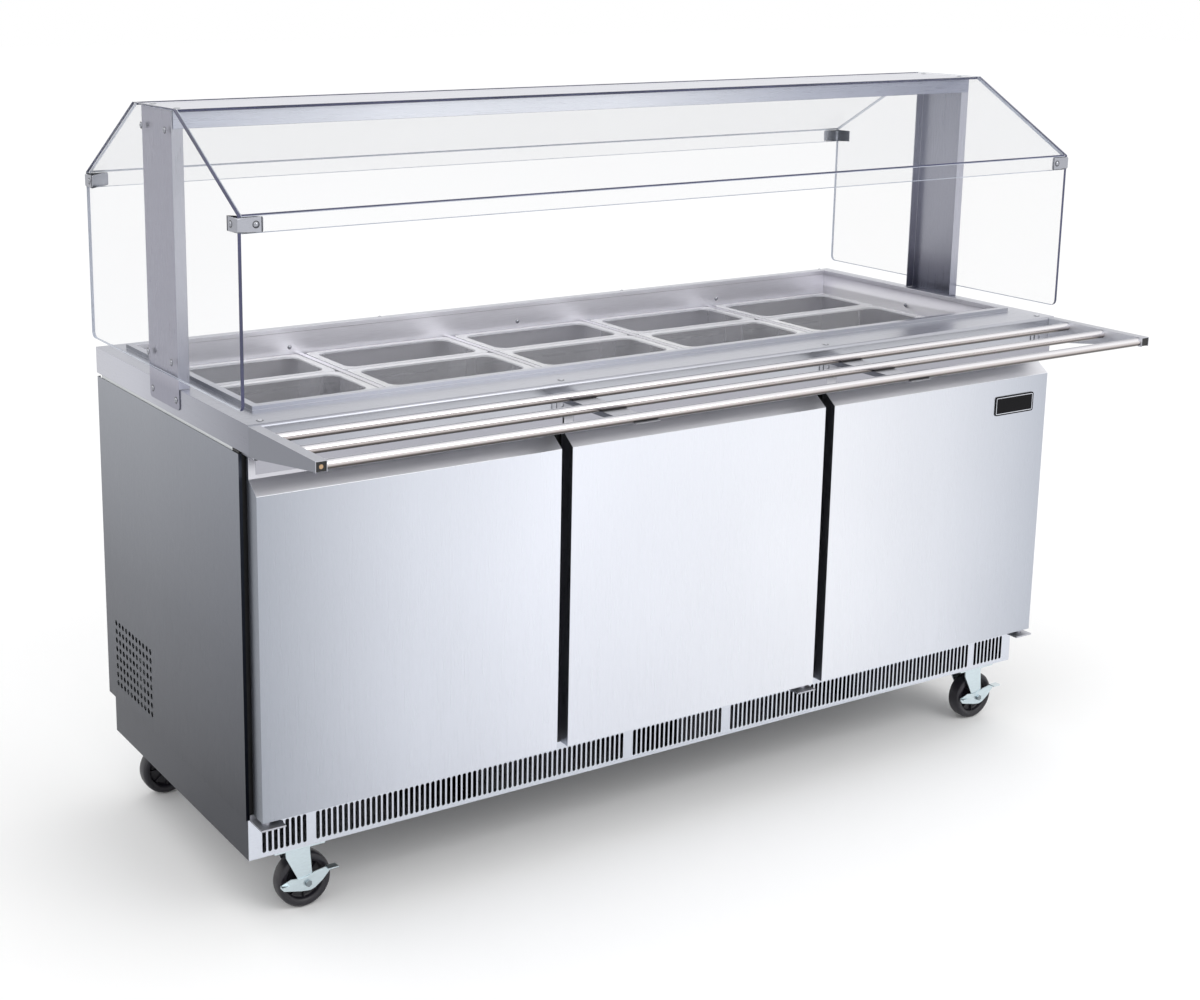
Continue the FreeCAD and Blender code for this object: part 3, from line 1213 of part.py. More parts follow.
def fasteners():
    """Dome screws of the counter, the well, the posts, the beam and the glass clips."""
    heads = []
    gap = number("seat_gap") * 0.2
    top = number("counter_top") + gap
    half, depth = number("half_length"), number("half_depth")
    for x in (-half + 30, -number("middle_bracket_place"), number("middle_bracket_place"),
              half - 30):
        heads.append(dome(Vector(x, -depth + 23, top), (0, 0, 1)))
        heads.append(dome(Vector(x, depth - 5.5, top), (0, 0, 1), number("cap_head")))
    wall_z = number("pan_top") + 14
    for x in (-535, 0, 535):
        heads.append(dome(Vector(x, number("well_back") - gap, wall_z), (0, -1, 0)))
    for side in (-1, 1):
        wall = side * (number("well_length") / 2 - gap)
        heads.append(dome(Vector(wall, number("well_middle"), wall_z), (-side, 0, 0)))
        web = side * (number("web_outer") + gap)
        glass = side * (number("glass_inner + glass_thick") + gap)
        for y in (-number("post_width") / 2 + 13, number("post_width") / 2 - 13):
            low = number("counter_top - post_overlap") + 17
            heads.append(dome(Vector(web, y, low), (side, 0, 0)))
            for height in (number("guard_foot") + 26, number("guard_top") - 37):
                heads.append(dome(Vector(glass, y, height), (side, 0, 0)))
            heads.append(dome(Vector(side * (half - 14), y, number("cap_top") + gap), (0, 0, 1)))
        for side_y in (-1, 1):
            clip_z = number("clip_bottom + clip_height / 2")
            face = number("guard_half + seat_gap + clip_sheet") + gap
            heads.append(dome(Vector(side * number("half_length - clip_screw"), side_y * face,
                                     clip_z), (0, side_y, 0)))
            flank = number("glass_inner + glass_thick + seat_gap + clip_sheet") + gap
            heads.append(dome(Vector(side * flank, side_y * number("guard_half - clip_screw"),
                                     clip_z), (side, 0, 0)))
    shape_piece(heads, "dome_screws")


# ---------------------------------------------------------------- tray slide
def bracket_profile(drawing, top):
    """Side view of a bracket: full height at the counter, tapering to its tip."""
    outline(drawing, [("tray_root", top), ("-tray_reach", top),
                      ("-tray_reach", "tray_top - bracket_tip"),
                      ("-tray_reach + 12", "tray_top - bracket_tip"),
                      ("tray_root - 20", "tray_top - bracket_root"),
                      ("tray_root", "tray_top - bracket_root")])


def tube_place(index):
    return f"-(tube_first + tube_pitch * {index})"


def end_bracket(side):
    """Inverted U whose inner side takes the ends of the three tubes."""
    bracket = body(f"tray_end_bracket_{'left' if side < 0 else 'right'}")
    inner = f"{side} * (half_length - bracket_width)"
    start = inner if side > 0 else "-half_length"
    face = sketch(bracket, "YZ", start)
    bracket_profile(face, "tray_top")
    pad(bracket, face, "bracket_width")
    hollow = sketch(bracket, "YZ", f"{start} + liner_sheet")
    outline(hollow, [("tray_root - liner_sheet", "tray_top - liner_sheet"),
                     ("-tray_reach - 1", "tray_top - liner_sheet"),
                     ("-tray_reach - 1", "tray_top - bracket_root - 1"),
                     ("tray_root - liner_sheet", "tray_top - bracket_root - 1")])
    pocket(bracket, hollow, "bracket_width - 2 * liner_sheet", reverse=True)
    bores = sketch(bracket, "YZ", f"{inner} - 1" if side > 0 else f"{inner} - liner_sheet - 1")
    for index in range(3):
        circle(bores, (tube_place(index), "tube_height"), "tube_radius + seat_gap * 0.2")
    pocket(bracket, bores, "liner_sheet + 2", reverse=True)
    tab = f"{side} * (half_length - bracket_width - end_tab)"
    wall_flange(bracket, *((f"{inner} - 0.5", tab) if side < 0 else (tab, f"{inner} + 0.5")))
    flange_holes(bracket, [(f"{tab} + {side} * 9", True), (f"{tab} + {side} * 22", False)])
    return bracket


def wall_flange(bracket, low, high):
    """Flange against the counter's front with a slot and a hole either side of its middle."""
    face = sketch(bracket, "XZ", "-(tray_root)")
    rectangle(face, (low, "tray_top - bracket_root"), (high, "tray_top - flange_drop"))
    pad(bracket, face, "liner_sheet")


def flange_holes(bracket, spots):
    """Round holes and upright slots through a wall flange, given by their middles."""
    height = "tray_top - flange_holes_drop"
    drawing = sketch(bracket, "XZ", "-(tray_root) - 1")
    for spot, is_slot in spots:
        if is_slot:
            slot(drawing, spot, f"{height} - flange_slot / 2", f"{height} + flange_slot / 2",
                 "flange_hole * 0.6")
        else:
            circle(drawing, (spot, height), "flange_hole")
    pocket(bracket, drawing, "liner_sheet + 2", reverse=True)


def middle_bracket(side):
    """Channel under the tubes: a web on its right, a short lip on its left, and a flange."""
    name = "left" if side < 0 else "right"
    bracket = body(f"tray_middle_bracket_{name}")
    top = "tube_height - tube_radius - seat_gap * 0.2"
    middle = f"{side} * middle_bracket_place"
    start = f"{middle} - middle_bracket_width / 2"
    face = sketch(bracket, "YZ", start)
    bracket_profile(face, top)
    pad(bracket, face, "middle_bracket_width")
    for inset, drop in (("liner_sheet", "liner_sheet"), ("-1", "bracket_lip")):
        hollow = sketch(bracket, "YZ", f"{start} + {inset}")
        rectangle(hollow, ("-tray_reach - 1", "tray_top - bracket_root - 1"),
                  ("tray_root - liner_sheet", f"{top} - {drop}"))
        pocket(bracket, hollow, f"middle_bracket_width - liner_sheet - ({inset})", reverse=True)
    wall_flange(bracket, f"{middle} - flange_half", f"{middle} + flange_half")
    flange_holes(bracket, [(f"{middle} + {offset}", is_slot)
                           for offset, is_slot in ((-26, True), (-13, False), (13, False),
                                                   (26, True))])
    return bracket


def tray_slide():
    brackets = [end_bracket(-1), middle_bracket(-1), middle_bracket(1), end_bracket(1)]
    piece(group("tray_brackets", brackets), "tray_brackets")
    tubes = []
    start = "half_length - liner_sheet - seat_gap"
    for index in range(3):
        spot = (f"-({start})", tube_place(index), "tube_height")
        outer = rod(f"tube_{index}_outer", spot, "tube_radius", f"2 * ({start})", "X")
        bore = rod(f"tube_{index}_bore", (f"-({start}) - 1", spot[1], spot[2]),
                   "tube_radius - tube_wall", f"2 * ({start}) + 2", "X")
        tubes.append(cut(f"tray_tube_{index + 1}", outer, [bore]))
    piece(group("tray_tubes", tubes), "tray_tubes")


# ---------------------------------------------------------------- casters
CASTERS = {
    "front_left": (-1, "-caster_front", 1),
    "front_right": (1, "-caster_front", 1),
    "rear_left": (-1, "caster_rear", -1),
    "rear_right": (1, "caster_rear", -1),
}
AXLE_Z = "wheel_radius"


def caster_plates():
    """Mounting plate and lower race of each caster, bolted under the base."""
    plates = []
    for name, (side, y, _) in CASTERS.items():
        x = f"{side} * caster_x"
        plate = box(f"plate_{name}", (f"{x} - plate_length / 2", f"{y} - plate_width / 2",
                                      "plate_top - plate_thick"),
                    ("plate_length", "plate_width", "plate_thick"))
        race = rod(f"race_{name}", (x, y, "plate_top - plate_thick - race_height"),
                   "race_radius", "race_height + 1")
        stud = rod(f"stud_{name}", (x, y, "plate_top - plate_thick - race_height - 10"),
                   "stud_radius", "race_height + 10")
        plates.append(fuse(f"caster_plate_{name}", [plate, race, stud]))
    piece(group("caster_plates", plates), "caster_plates")


def fork_form(trail, head_gap):
    """Swivel fork about its pivot at x = y = 0 and its axle bolt, whose head stands off."""
    top = number("plate_top - plate_thick - race_height - seat_gap")
    sheet, width, foot = number("fork_sheet"), number("fork_width"), number("fork_foot")
    front, rear = number("fork_front"), number("fork_back")
    axle = Vector(trail, 0, number(AXLE_Z))
    crown = Part.makeCylinder(rear, sheet, Vector(0, 0, top - sheet))
    bore = Part.makeCylinder(number("stud_radius + axle_play"), 40, Vector(0, 0, top - 20))
    legs = []
    reach = 1 if trail > 0 else -1
    for side in (-1, 1):
        y = side * (width / 2) - (sheet if side > 0 else 0)
        corners = [Vector(-front * reach, y, top), Vector(-front * reach, y, top - 12),
                   Vector(axle.x - 10 * reach, y, axle.z - 6),
                   Vector(axle.x - 4 * reach, y, axle.z - foot),
                   Vector(axle.x + 5 * reach, y, axle.z - foot),
                   Vector(axle.x + foot * reach, y, axle.z - 4),
                   Vector(rear * reach, y, top - 10), Vector(rear * reach, y, top)]
        face = Part.Face(Part.makePolygon(corners + corners[:1]))
        legs.append(face.extrude(Vector(0, sheet, 0)))
    bridge = Part.makeBox(front + rear, width, sheet,
                          Vector(-front if reach > 0 else -rear, -width / 2, top - sheet))
    radius, nut_height = number("axle_radius"), number("bolt_nut_height")
    holes = Part.makeCylinder(radius + 0.05, width + 4, axle - Vector(0, width / 2 + 2, 0),
                              Vector(0, 1, 0))
    fork = crown.fuse(legs + [bridge]).cut(bore).cut(holes).removeSplitter()
    near_end = width / 2 + head_gap + number("bolt_head_height")
    far_end = width / 2 + nut_height + number("bolt_end")
    shank = Part.makeCylinder(radius, near_end + far_end, axle - Vector(0, near_end, 0),
                              Vector(0, 1, 0))
    across = number("bolt_head")
    nut = hexagon(axle + Vector(0, width / 2 + number("seat_gap"), 0), across, nut_height)
    head = hexagon(axle - Vector(0, near_end, 0), across, number("bolt_head_height"))
    bolt = shank.fuse([nut, head]).removeSplitter()
    return [fork, bolt]


def hexagon(spot, radius, length):
    """Six-sided head or nut from spot, along +Y."""
    angles = [math.radians(60 * index + 30) for index in range(7)]
    points = [spot + Vector(radius * math.cos(turn), 0, radius * math.sin(turn))
              for turn in angles]
    return Part.Face(Part.makePolygon(points)).extrude(Vector(0, length, 0))


def wheel_form(trail):
    """Solid wheel with a dished web and a hub, bored for its axle."""
    radius, half = number("wheel_radius"), number("wheel_width / 2")
    end = number("fork_width / 2 - fork_sheet - hub_play")
    bore, hub = number("axle_radius + axle_play"), number("hub_radius")
    web, web_radius, slope = number("web_half"), number("web_radius"), number("tyre_slope")
    section = [(bore, -end), (hub, -end), (hub, -web), (web_radius, -web),
               (web_radius + slope, 2 - half), (radius - slope, -half), (radius, 5 - half),
               (radius, half - 5), (radius - slope, half), (web_radius + slope, half - 2),
               (web_radius, web), (hub, web), (hub, end), (bore, end)]
    points = [Vector(r, y, 0) for r, y in section]
    profile = Part.Face(Part.makePolygon(points + points[:1]))
    wheel = profile.revolve(Vector(), Vector(0, 1, 0), 360)
    wheel.translate(Vector(trail, 0, number(AXLE_Z)))
    return wheel


def pedal_form(trail):
    """Brake pedal: a shaped plate outside the fork that rocks on the axle bolt."""
    sheet = number("pedal_sheet")
    y = -number("fork_width") / 2 - number("seat_gap") - sheet
    axle = Vector(trail, 0, number(AXLE_Z))
    outline_xz = [(-52, 7), (-52, 2), (-46, -5), (-12, -13), (4, -15), (14, -12), (28, -2),
                  (46, 17), (46, 23), (26, 20), (12, 18), (0, 12), (-14, 11), (-32, 14)]
    corners = [axle + Vector(x, y, z) for x, z in outline_xz]
    plate = Part.Face(Part.makePolygon(corners + corners[:1])).extrude(Vector(0, sheet, 0))
    toe = Part.makeBox(20, 14, sheet, axle + Vector(34, y - 12, 21))
    heel = Part.makeBox(14, 10, sheet, axle + Vector(-52, y - 8, 5))
    bore = Part.makeCylinder(number("axle_radius") + 0.05, 30, axle - Vector(0, 45, 0),
                             Vector(0, 1, 0))
    return plate.fuse([toe, heel]).cut(bore).removeSplitter()


def casters():
    for name, (side, y, reach) in CASTERS.items():
        spot = Vector(side * number("caster_x"), number(y), 0)
        trail = reach * number("caster_trail")
        braked = name.startswith("front")
        head_gap = number("pedal_sheet + 2 * seat_gap" if braked else "seat_gap")
        fork = [solid.translated(spot) for solid in fork_form(trail, head_gap)]
        shape_piece(fork, f"caster_fork_{name}")
        shape_piece([wheel_form(trail).translated(spot)], f"caster_wheel_{name}")
        if braked:
            shape_piece([pedal_form(trail).translated(spot)], f"brake_pedal_{name}")


# ---------------------------------------------------------------- whole salad bar
def build():
    countertop()
    pan_well()
    support_bars()
    pans()
    insulated_tub()
    front_frame()
    side_panel("side_panel_left", -1)
    side_panel("side_panel_right", 1)
    back_panel()
    base_frame()
    front_grille()
    doors()
    hinge_brackets()
    badge()
    shelves()
    shelf_strips()
    evaporator()
    fans()
    fan_motors()
    machine_room()
    post("post_left", -1)
    post("post_right", 1)
    top_beam()
    end_glass("end_glass_left", -1)
    end_glass("end_glass_right", 1)
    sloping_glass("front_glass", -1)
    sloping_glass("rear_glass", 1)
    glass_clips()
    fasteners()
    tray_slide()
    caster_plates()
    casters()


def check_and_write():
    doc.recompute()
    for thing in doc.Objects:
        if "Invalid" in thing.State or "Error" in thing.State:
            raise RuntimeError(f"{thing.Label} failed: {thing.State}")
    for thing in pieces:
        if thing.Shape.isNull() or not thing.Shape.isValid() or not thing.Shape.Solids:
            raise RuntimeError(f"{thing.Label} has no valid solid")
    os.makedirs("parts", exist_ok=True)
    for thing in pieces:
        thing.Shape.exportStep(f"parts/{thing.Label}.step")
    print(len(pieces), "sub-parts written")


build()
check_and_write()
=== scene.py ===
"""Looks of a mobile refrigerated salad bar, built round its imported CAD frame."""
import json
import logging
import math
from contextlib import contextmanager
from dataclasses import dataclass
from enum import Enum
from typing import Callable, Iterator, Optional, Sequence, Union

import bpy
from mathutils import Matrix, Vector


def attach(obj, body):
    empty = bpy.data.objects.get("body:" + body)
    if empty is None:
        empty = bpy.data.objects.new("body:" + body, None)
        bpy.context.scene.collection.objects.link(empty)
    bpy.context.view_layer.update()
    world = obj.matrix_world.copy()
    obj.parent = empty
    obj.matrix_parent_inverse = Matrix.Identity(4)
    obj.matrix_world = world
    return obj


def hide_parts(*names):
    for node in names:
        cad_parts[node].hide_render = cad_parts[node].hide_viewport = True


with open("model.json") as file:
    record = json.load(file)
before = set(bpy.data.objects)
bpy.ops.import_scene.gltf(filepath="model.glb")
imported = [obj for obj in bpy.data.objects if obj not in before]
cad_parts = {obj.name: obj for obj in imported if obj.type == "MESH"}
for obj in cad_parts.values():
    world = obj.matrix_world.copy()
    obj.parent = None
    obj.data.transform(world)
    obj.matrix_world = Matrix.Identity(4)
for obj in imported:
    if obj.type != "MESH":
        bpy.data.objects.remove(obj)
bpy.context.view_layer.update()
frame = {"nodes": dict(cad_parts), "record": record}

LOG = logging.getLogger("salad_bar")
MM = 0.001
ROW_SHIFT = 117.4 * MM
BODY_OF_NODE = {node: body for body, nodes in frame["record"]["behaviour"]["bodies"].items()
                for node in nodes}
SLOT_OF_NODE = {part["node"]: part["material_slot"] for part in frame["record"]["subparts"]}
Colour = Union[str, bpy.types.NodeSocket]


# ---------------------------------------------------------------- colours and node helpers
def linear(hex_colour: str) -> tuple[float, float, float, float]:
    """Turn an sRGB hex colour into a linear colour.

    Args:
        hex_colour: Colour such as "#c3c4cc".

    Returns:
        Red, green, blue and alpha for a shader socket.
    """
    values = [int(hex_colour[i:i + 2], 16) / 255 for i in (1, 3, 5)]
    parts = [v / 12.92 if v <= 0.04045 else ((v + 0.055) / 1.055) ** 2.4 for v in values]
    return (*parts, 1.0)


def add(tree: bpy.types.NodeTree, kind: str, links: Optional[dict] = None,
        values: Optional[dict] = None, **settings) -> bpy.types.Node:
    """Add a shader node with its links, its socket values and its settings.

    Args:
        tree: Node tree that gets the node.
        kind: Node type without the "ShaderNode" in front.
        links: Input name or index to the output socket that feeds it.
        values: Input name or index to a constant.
        settings: Attributes of the node itself.

    Returns:
        The new node.
    """
    node = tree.nodes.new(f"ShaderNode{kind}")
    for name, value in settings.items():
        setattr(node, name, value)
    for name, value in (values or {}).items():
        node.inputs[name].default_value = value
    for name, output in (links or {}).items():
        tree.links.new(output, node.inputs[name])
    return node


def blank(name: str) -> tuple[bpy.types.Material, bpy.types.NodeTree, bpy.types.Node]:
    """Make a material that holds only a Principled shader.

    Args:
        name: Name of the material.

    Returns:
        The material, its tree and the shader.
    """
    material = bpy.data.materials.new(name)
    material.use_nodes = True
    tree = material.node_tree
    tree.nodes.clear()
    shader = add(tree, "BsdfPrincipled")
    add(tree, "OutputMaterial", {"Surface": shader.outputs["BSDF"]})
    return material, tree, shader


class Grain(Enum):
    """Direction of the fine lines that brushing leaves."""
    ALONG_X = 0
    ALONG_Y = 1
    ALONG_Z = 2


def grain_noise(tree: bpy.types.NodeTree, coords: bpy.types.Node, grain: Grain,
                length_mm: float, width_mm: float) -> bpy.types.NodeSocket:
    """Stretched noise that looks like brushing.

    Args:
        tree: Node tree that gets the nodes.
        coords: Texture coordinate node.
        grain: Direction of the lines.
        length_mm: Length of a line.
        width_mm: Width of a line.

    Returns:
        The noise's value, from 0 to 1.
    """
    scale = [1000 / width_mm] * 3
    scale[grain.value] = 1000 / length_mm
    mapping = add(tree, "Mapping", {"Vector": coords.outputs["Object"]}, {"Scale": scale})
    noise = add(tree, "TexNoise", {"Vector": mapping.outputs["Vector"]},
                {"Scale": 1.0, "Detail": 3.0, "Roughness": 0.6})
    return noise.outputs["Fac"]


def soft_noise(tree: bpy.types.NodeTree, coords: bpy.types.Node, size_mm: float,
               detail: float = 2.0) -> bpy.types.NodeSocket:
    """Round noise, for specks or for slow changes of tone.

    Args:
        tree: Node tree that gets the node.
        coords: Texture coordinate node.
        size_mm: Size of a speck or cloud.
        detail: How much finer noise lies over it.

    Returns:
        The noise's value, from 0 to 1.
    """
    noise = add(tree, "TexNoise", {"Vector": coords.outputs["Object"]},
                {"Scale": 1000 / size_mm, "Detail": detail})
    return noise.outputs["Fac"]


def remap(tree: bpy.types.NodeTree, socket: bpy.types.NodeSocket, low: float, high: float,
          to_low: float, to_high: float) -> bpy.types.NodeSocket:
    """Stretch a value from one range to another, held at the ends.

    Args:
        tree: Node tree that gets the node.
        socket: Value to stretch.
        low: Start of the old range.
        high: End of the old range.
        to_low: Start of the new range.
        to_high: End of the new range.

    Returns:
        The stretched value.
    """
    return add(tree, "MapRange", {"Value": socket},
               {"From Min": low, "From Max": high, "To Min": to_low, "To Max": to_high}
               ).outputs["Result"]


def blend_colours(tree: bpy.types.NodeTree, factor: bpy.types.NodeSocket, low: Colour,
                  high: Colour) -> bpy.types.NodeSocket:
    """Mix two colours, each given as a socket or as a hex colour.

    Args:
        tree: Node tree that gets the node.
        factor: Share of the second colour, from 0 to 1.
        low: First colour.
        high: Second colour.

    Returns:
        The mixed colour.
    """
    mix = add(tree, "Mix", {0: factor}, data_type="RGBA", blend_type="MIX")
    for index, colour in ((6, low), (7, high)):
        if isinstance(colour, str):
            mix.inputs[index].default_value = linear(colour)
        else:
            tree.links.new(colour, mix.inputs[index])
    return mix.outputs[2]


def colour_ramp(tree: bpy.types.NodeTree, share: bpy.types.NodeSocket,
                stops: Sequence[tuple[float, str]]) -> bpy.types.NodeSocket:
    """Run through several colours as a value goes from 0 to 1.

    Args:
        tree: Node tree that gets the node.
        share: Value from 0 to 1.
        stops: Pairs of a value and a hex colour, in rising order.

    Returns:
        The colour.
    """
    ramp = add(tree, "ValToRGB", {0: share})
    elements = ramp.color_ramp.elements
    while len(elements) < len(stops):
        elements.new(0.5)
    for element, (position, colour) in zip(elements, stops):
        element.position = position
        element.color = linear(colour)
    return ramp.outputs["Color"]


# ---------------------------------------------------------------- finishes
SHEET_CLOUD_MM = 454.5
MOULDED_CLOUD_MM = 111.1
GLASS_CLOUD_MM = 333.3
FLOOR_CLOUD_MM = 2500.0
NOISE_SPREAD = (0.3, 0.7)
LINE_SPREAD = (0.25, 0.75)
GLOSS_SPREAD = (0.2, 0.8)
CLOUD_TONE = (0.97, 1.03)
TURNED_ASIDE = (0.3, 0.9)
TURNED_UP = (0.3, 0.95)
GRAIN_BUMP = {"Strength": 0.12, "Distance": 0.0002}
SPECK_DEPTH = 0.0003
RIM_BLEND = 0.35
RIM_START = 0.25


@dataclass(frozen=True)
class Fade:
    """Painted light and shade: a slow change of tone along one axis, as a sheet shows where it
    mirrors a room.

    Stops are pairs of a place in millimetres and a hex colour that multiplies the tone.
    """
    axis: int
    stops: tuple[tuple[float, str], ...]


@dataclass(frozen=True)
class Steel:
    """Cold-rolled stainless sheet, brushed with a belt, so it mirrors only broad tones.

    The tone differs with the way a face is turned, as painted light and shade: front for faces
    along the bar, side for faces across it, top and under for level ones. A real belt's lines are
    about 0.1 mm wide, too fine for a picture of the whole bar, so they are drawn 0.8 mm wide or
    more.
    """
    name: str
    front: str
    side: str
    top: str
    under: str
    grain: Grain = Grain.ALONG_X
    grain_mm: tuple[float, float] = (60.0, 0.9)
    contrast: float = 0.06
    roughness: tuple[float, float] = (0.24, 0.36)
    fades: tuple[Fade, ...] = ()

    def build(self) -> bpy.types.Material:
        """Make the material.

        Returns:
            The material.
        """
        material, tree, shader = blank(self.name)
        coords = add(tree, "TexCoord")
        tone = self.faded(tree, coords, self.turned(tree, coords))
        lines = grain_noise(tree, coords, self.grain, *self.grain_mm)
        level = remap(tree, lines, *LINE_SPREAD, 1 - self.contrast, 1 + self.contrast)
        clouds = soft_noise(tree, coords, SHEET_CLOUD_MM, 1.0)
        level = add(tree, "Math", {0: level, 1: remap(tree, clouds, *NOISE_SPREAD, *CLOUD_TONE)},
                    operation="MULTIPLY")
        scaled = add(tree, "VectorMath", {0: tone, "Scale": level.outputs[0]},
                     operation="SCALE")
        tree.links.new(scaled.outputs["Vector"], shader.inputs["Base Color"])
        tree.links.new(remap(tree, lines, *GLOSS_SPREAD, *self.roughness),
                       shader.inputs["Roughness"])
        bump = add(tree, "Bump", {"Height": lines}, GRAIN_BUMP)
        tree.links.new(bump.outputs["Normal"], shader.inputs["Normal"])
        shader.inputs["Metallic"].default_value = 1.0
        return material

    def turned(self, tree: bpy.types.NodeTree, coords: bpy.types.Node) -> bpy.types.NodeSocket:
        """Pick the tone by the way a face is turned, as painted light and shade.

        Args:
            tree: Node tree that gets the nodes.
            coords: Texture coordinate node.

        Returns:
            The front, side, top or under tone, or a blend where a face is turned between.
        """
        normal = add(tree, "SeparateXYZ", {0: coords.outputs["Normal"]})
        across = add(tree, "Math", {0: normal.outputs["X"]}, operation="ABSOLUTE")
        tone = blend_colours(tree, remap(tree, across.outputs[0], *TURNED_ASIDE, 0, 1),
                             self.front, self.side)
        for way, colour in ((1, self.top), (-1, self.under)):
            low, high = (way * part for part in TURNED_UP)
            tone = blend_colours(tree, remap(tree, normal.outputs["Z"], low, high, 0, 1), tone,
                                 colour)
        return tone

    def faded(self, tree: bpy.types.NodeTree, coords: bpy.types.Node,
              tone: bpy.types.NodeSocket) -> bpy.types.NodeSocket:
        """Multiply a tone by the finish's fades, which are painted light and shade.

        Args:
            tree: Node tree that gets the nodes.
            coords: Texture coordinate node.
            tone: Tone before the fades.

        Returns:
            The faded tone.
        """
        place = add(tree, "SeparateXYZ", {0: coords.outputs["Object"]})
        for fade in self.fades:
            low, high = fade.stops[0][0], fade.stops[-1][0]
            share = remap(tree, place.outputs[fade.axis], low * MM, high * MM, 0, 1)
            colour = colour_ramp(tree, share, [((position - low) / (high - low), colour)
                                               for position, colour in fade.stops])
            tone = add(tree, "Mix", {6: tone, 7: colour}, {0: 1.0}, data_type="RGBA",
                       blend_type="MULTIPLY").outputs[2]
        return tone


@dataclass(frozen=True)
class PolishedBar:
    """Polished stainless tube with a painted reflection of the room: light and dark bands along it.

    Bands are pairs of an upward part of the normal, from -1 to 1, and a hex colour. The lines
    along the tube are drawn 0.5 mm wide, coarser than real polishing, so that they show.
    """
    name: str
    bands: tuple[tuple[float, str], ...]
    grain_mm: tuple[float, float] = (120.0, 0.5)
    roughness: tuple[float, float] = (0.12, 0.18)

    def build(self) -> bpy.types.Material:
        """Make the material.

        Returns:
            The material.
        """
        material, tree, shader = blank(self.name)
        coords = add(tree, "TexCoord")
        normal = add(tree, "SeparateXYZ", {0: coords.outputs["Normal"]})
        colour = colour_ramp(tree, remap(tree, normal.outputs["Z"], -1, 1, 0, 1),
                             [((upward + 1) / 2, colour) for upward, colour in self.bands])
        lines = grain_noise(tree, coords, Grain.ALONG_X, *self.grain_mm)
        scaled = add(tree, "VectorMath",
                     {0: colour, "Scale": remap(tree, lines, *LINE_SPREAD, *CLOUD_TONE)},
                     operation="SCALE")
        tree.links.new(scaled.outputs["Vector"], shader.inputs["Base Color"])
        tree.links.new(remap(tree, lines, *GLOSS_SPREAD, *self.roughness),
                       shader.inputs["Roughness"])
        shader.inputs["Metallic"].default_value = 1.0
        return material


@dataclass(frozen=True)
class Moulded:
    """Moulded or painted surface with a fine sparkle of moulding texture.

    Real moulding texture is about 0.2 mm across; it is drawn 1.2 mm across or more, so that it
    shows.
    """
    name: str
    light: str
    dark: str
    roughness: tuple[float, float] = (0.4, 0.55)
    speck_mm: float = 1.2
    speck_spread: tuple[float, float] = (0.12, 0.42)
    bump: float = 0.1
    metallic: float = 0.0
    specular: float = 0.5

    def build(self) -> bpy.types.Material:
        """Make the material.

        Returns:
            The material.
        """
        material, tree, shader = blank(self.name)
        coords = add(tree, "TexCoord")
        specks = soft_noise(tree, coords, self.speck_mm)
        clouds = soft_noise(tree, coords, MOULDED_CLOUD_MM)
        both = add(tree, "Math", {0: specks, 1: clouds}, operation="MULTIPLY")
        share = remap(tree, both.outputs[0], *self.speck_spread, 0, 1)
        tree.links.new(blend_colours(tree, share, self.dark, self.light),
                       shader.inputs["Base Color"])
        tree.links.new(remap(tree, specks, *NOISE_SPREAD, *self.roughness),
                       shader.inputs["Roughness"])
        bump = add(tree, "Bump", {"Height": specks},
                   {"Strength": self.bump, "Distance": SPECK_DEPTH})
        tree.links.new(bump.outputs["Normal"], shader.inputs["Normal"])
        shader.inputs["Metallic"].default_value = self.metallic
        shader.inputs["Specular IOR Level"].default_value = self.specular
        return material


@dataclass(frozen=True)
class ClearSheet:
    """Clear sheet such as float glass or polycarbonate: see-through head-on, glossy aslant.

    Veil is how much of the sheet's own tone shows head-on, and rim how much shows aslant. The
    tone wanders slowly between tint and pale.
    """
    name: str
    tint: str
    veil: float
    rim: float
    roughness: tuple[float, float] = (0.02, 0.05)
    pale: str = "#ffffff"

    def build(self) -> bpy.types.Material:
        """Make the material.

        Returns:
            The material.
        """
        material, tree, shader = blank(self.name)
        coords = add(tree, "TexCoord")
        clouds = soft_noise(tree, coords, GLASS_CLOUD_MM, 1.0)
        tree.links.new(blend_colours(tree, clouds, self.tint, self.pale),
                       shader.inputs["Base Color"])
        tree.links.new(remap(tree, clouds, *NOISE_SPREAD, *self.roughness),
                       shader.inputs["Roughness"])
        aslant = add(tree, "LayerWeight", values={"Blend": RIM_BLEND}).outputs["Facing"]
        tree.links.new(remap(tree, aslant, RIM_START, 1.0, self.veil, self.rim),
                       shader.inputs["Alpha"])
        return material


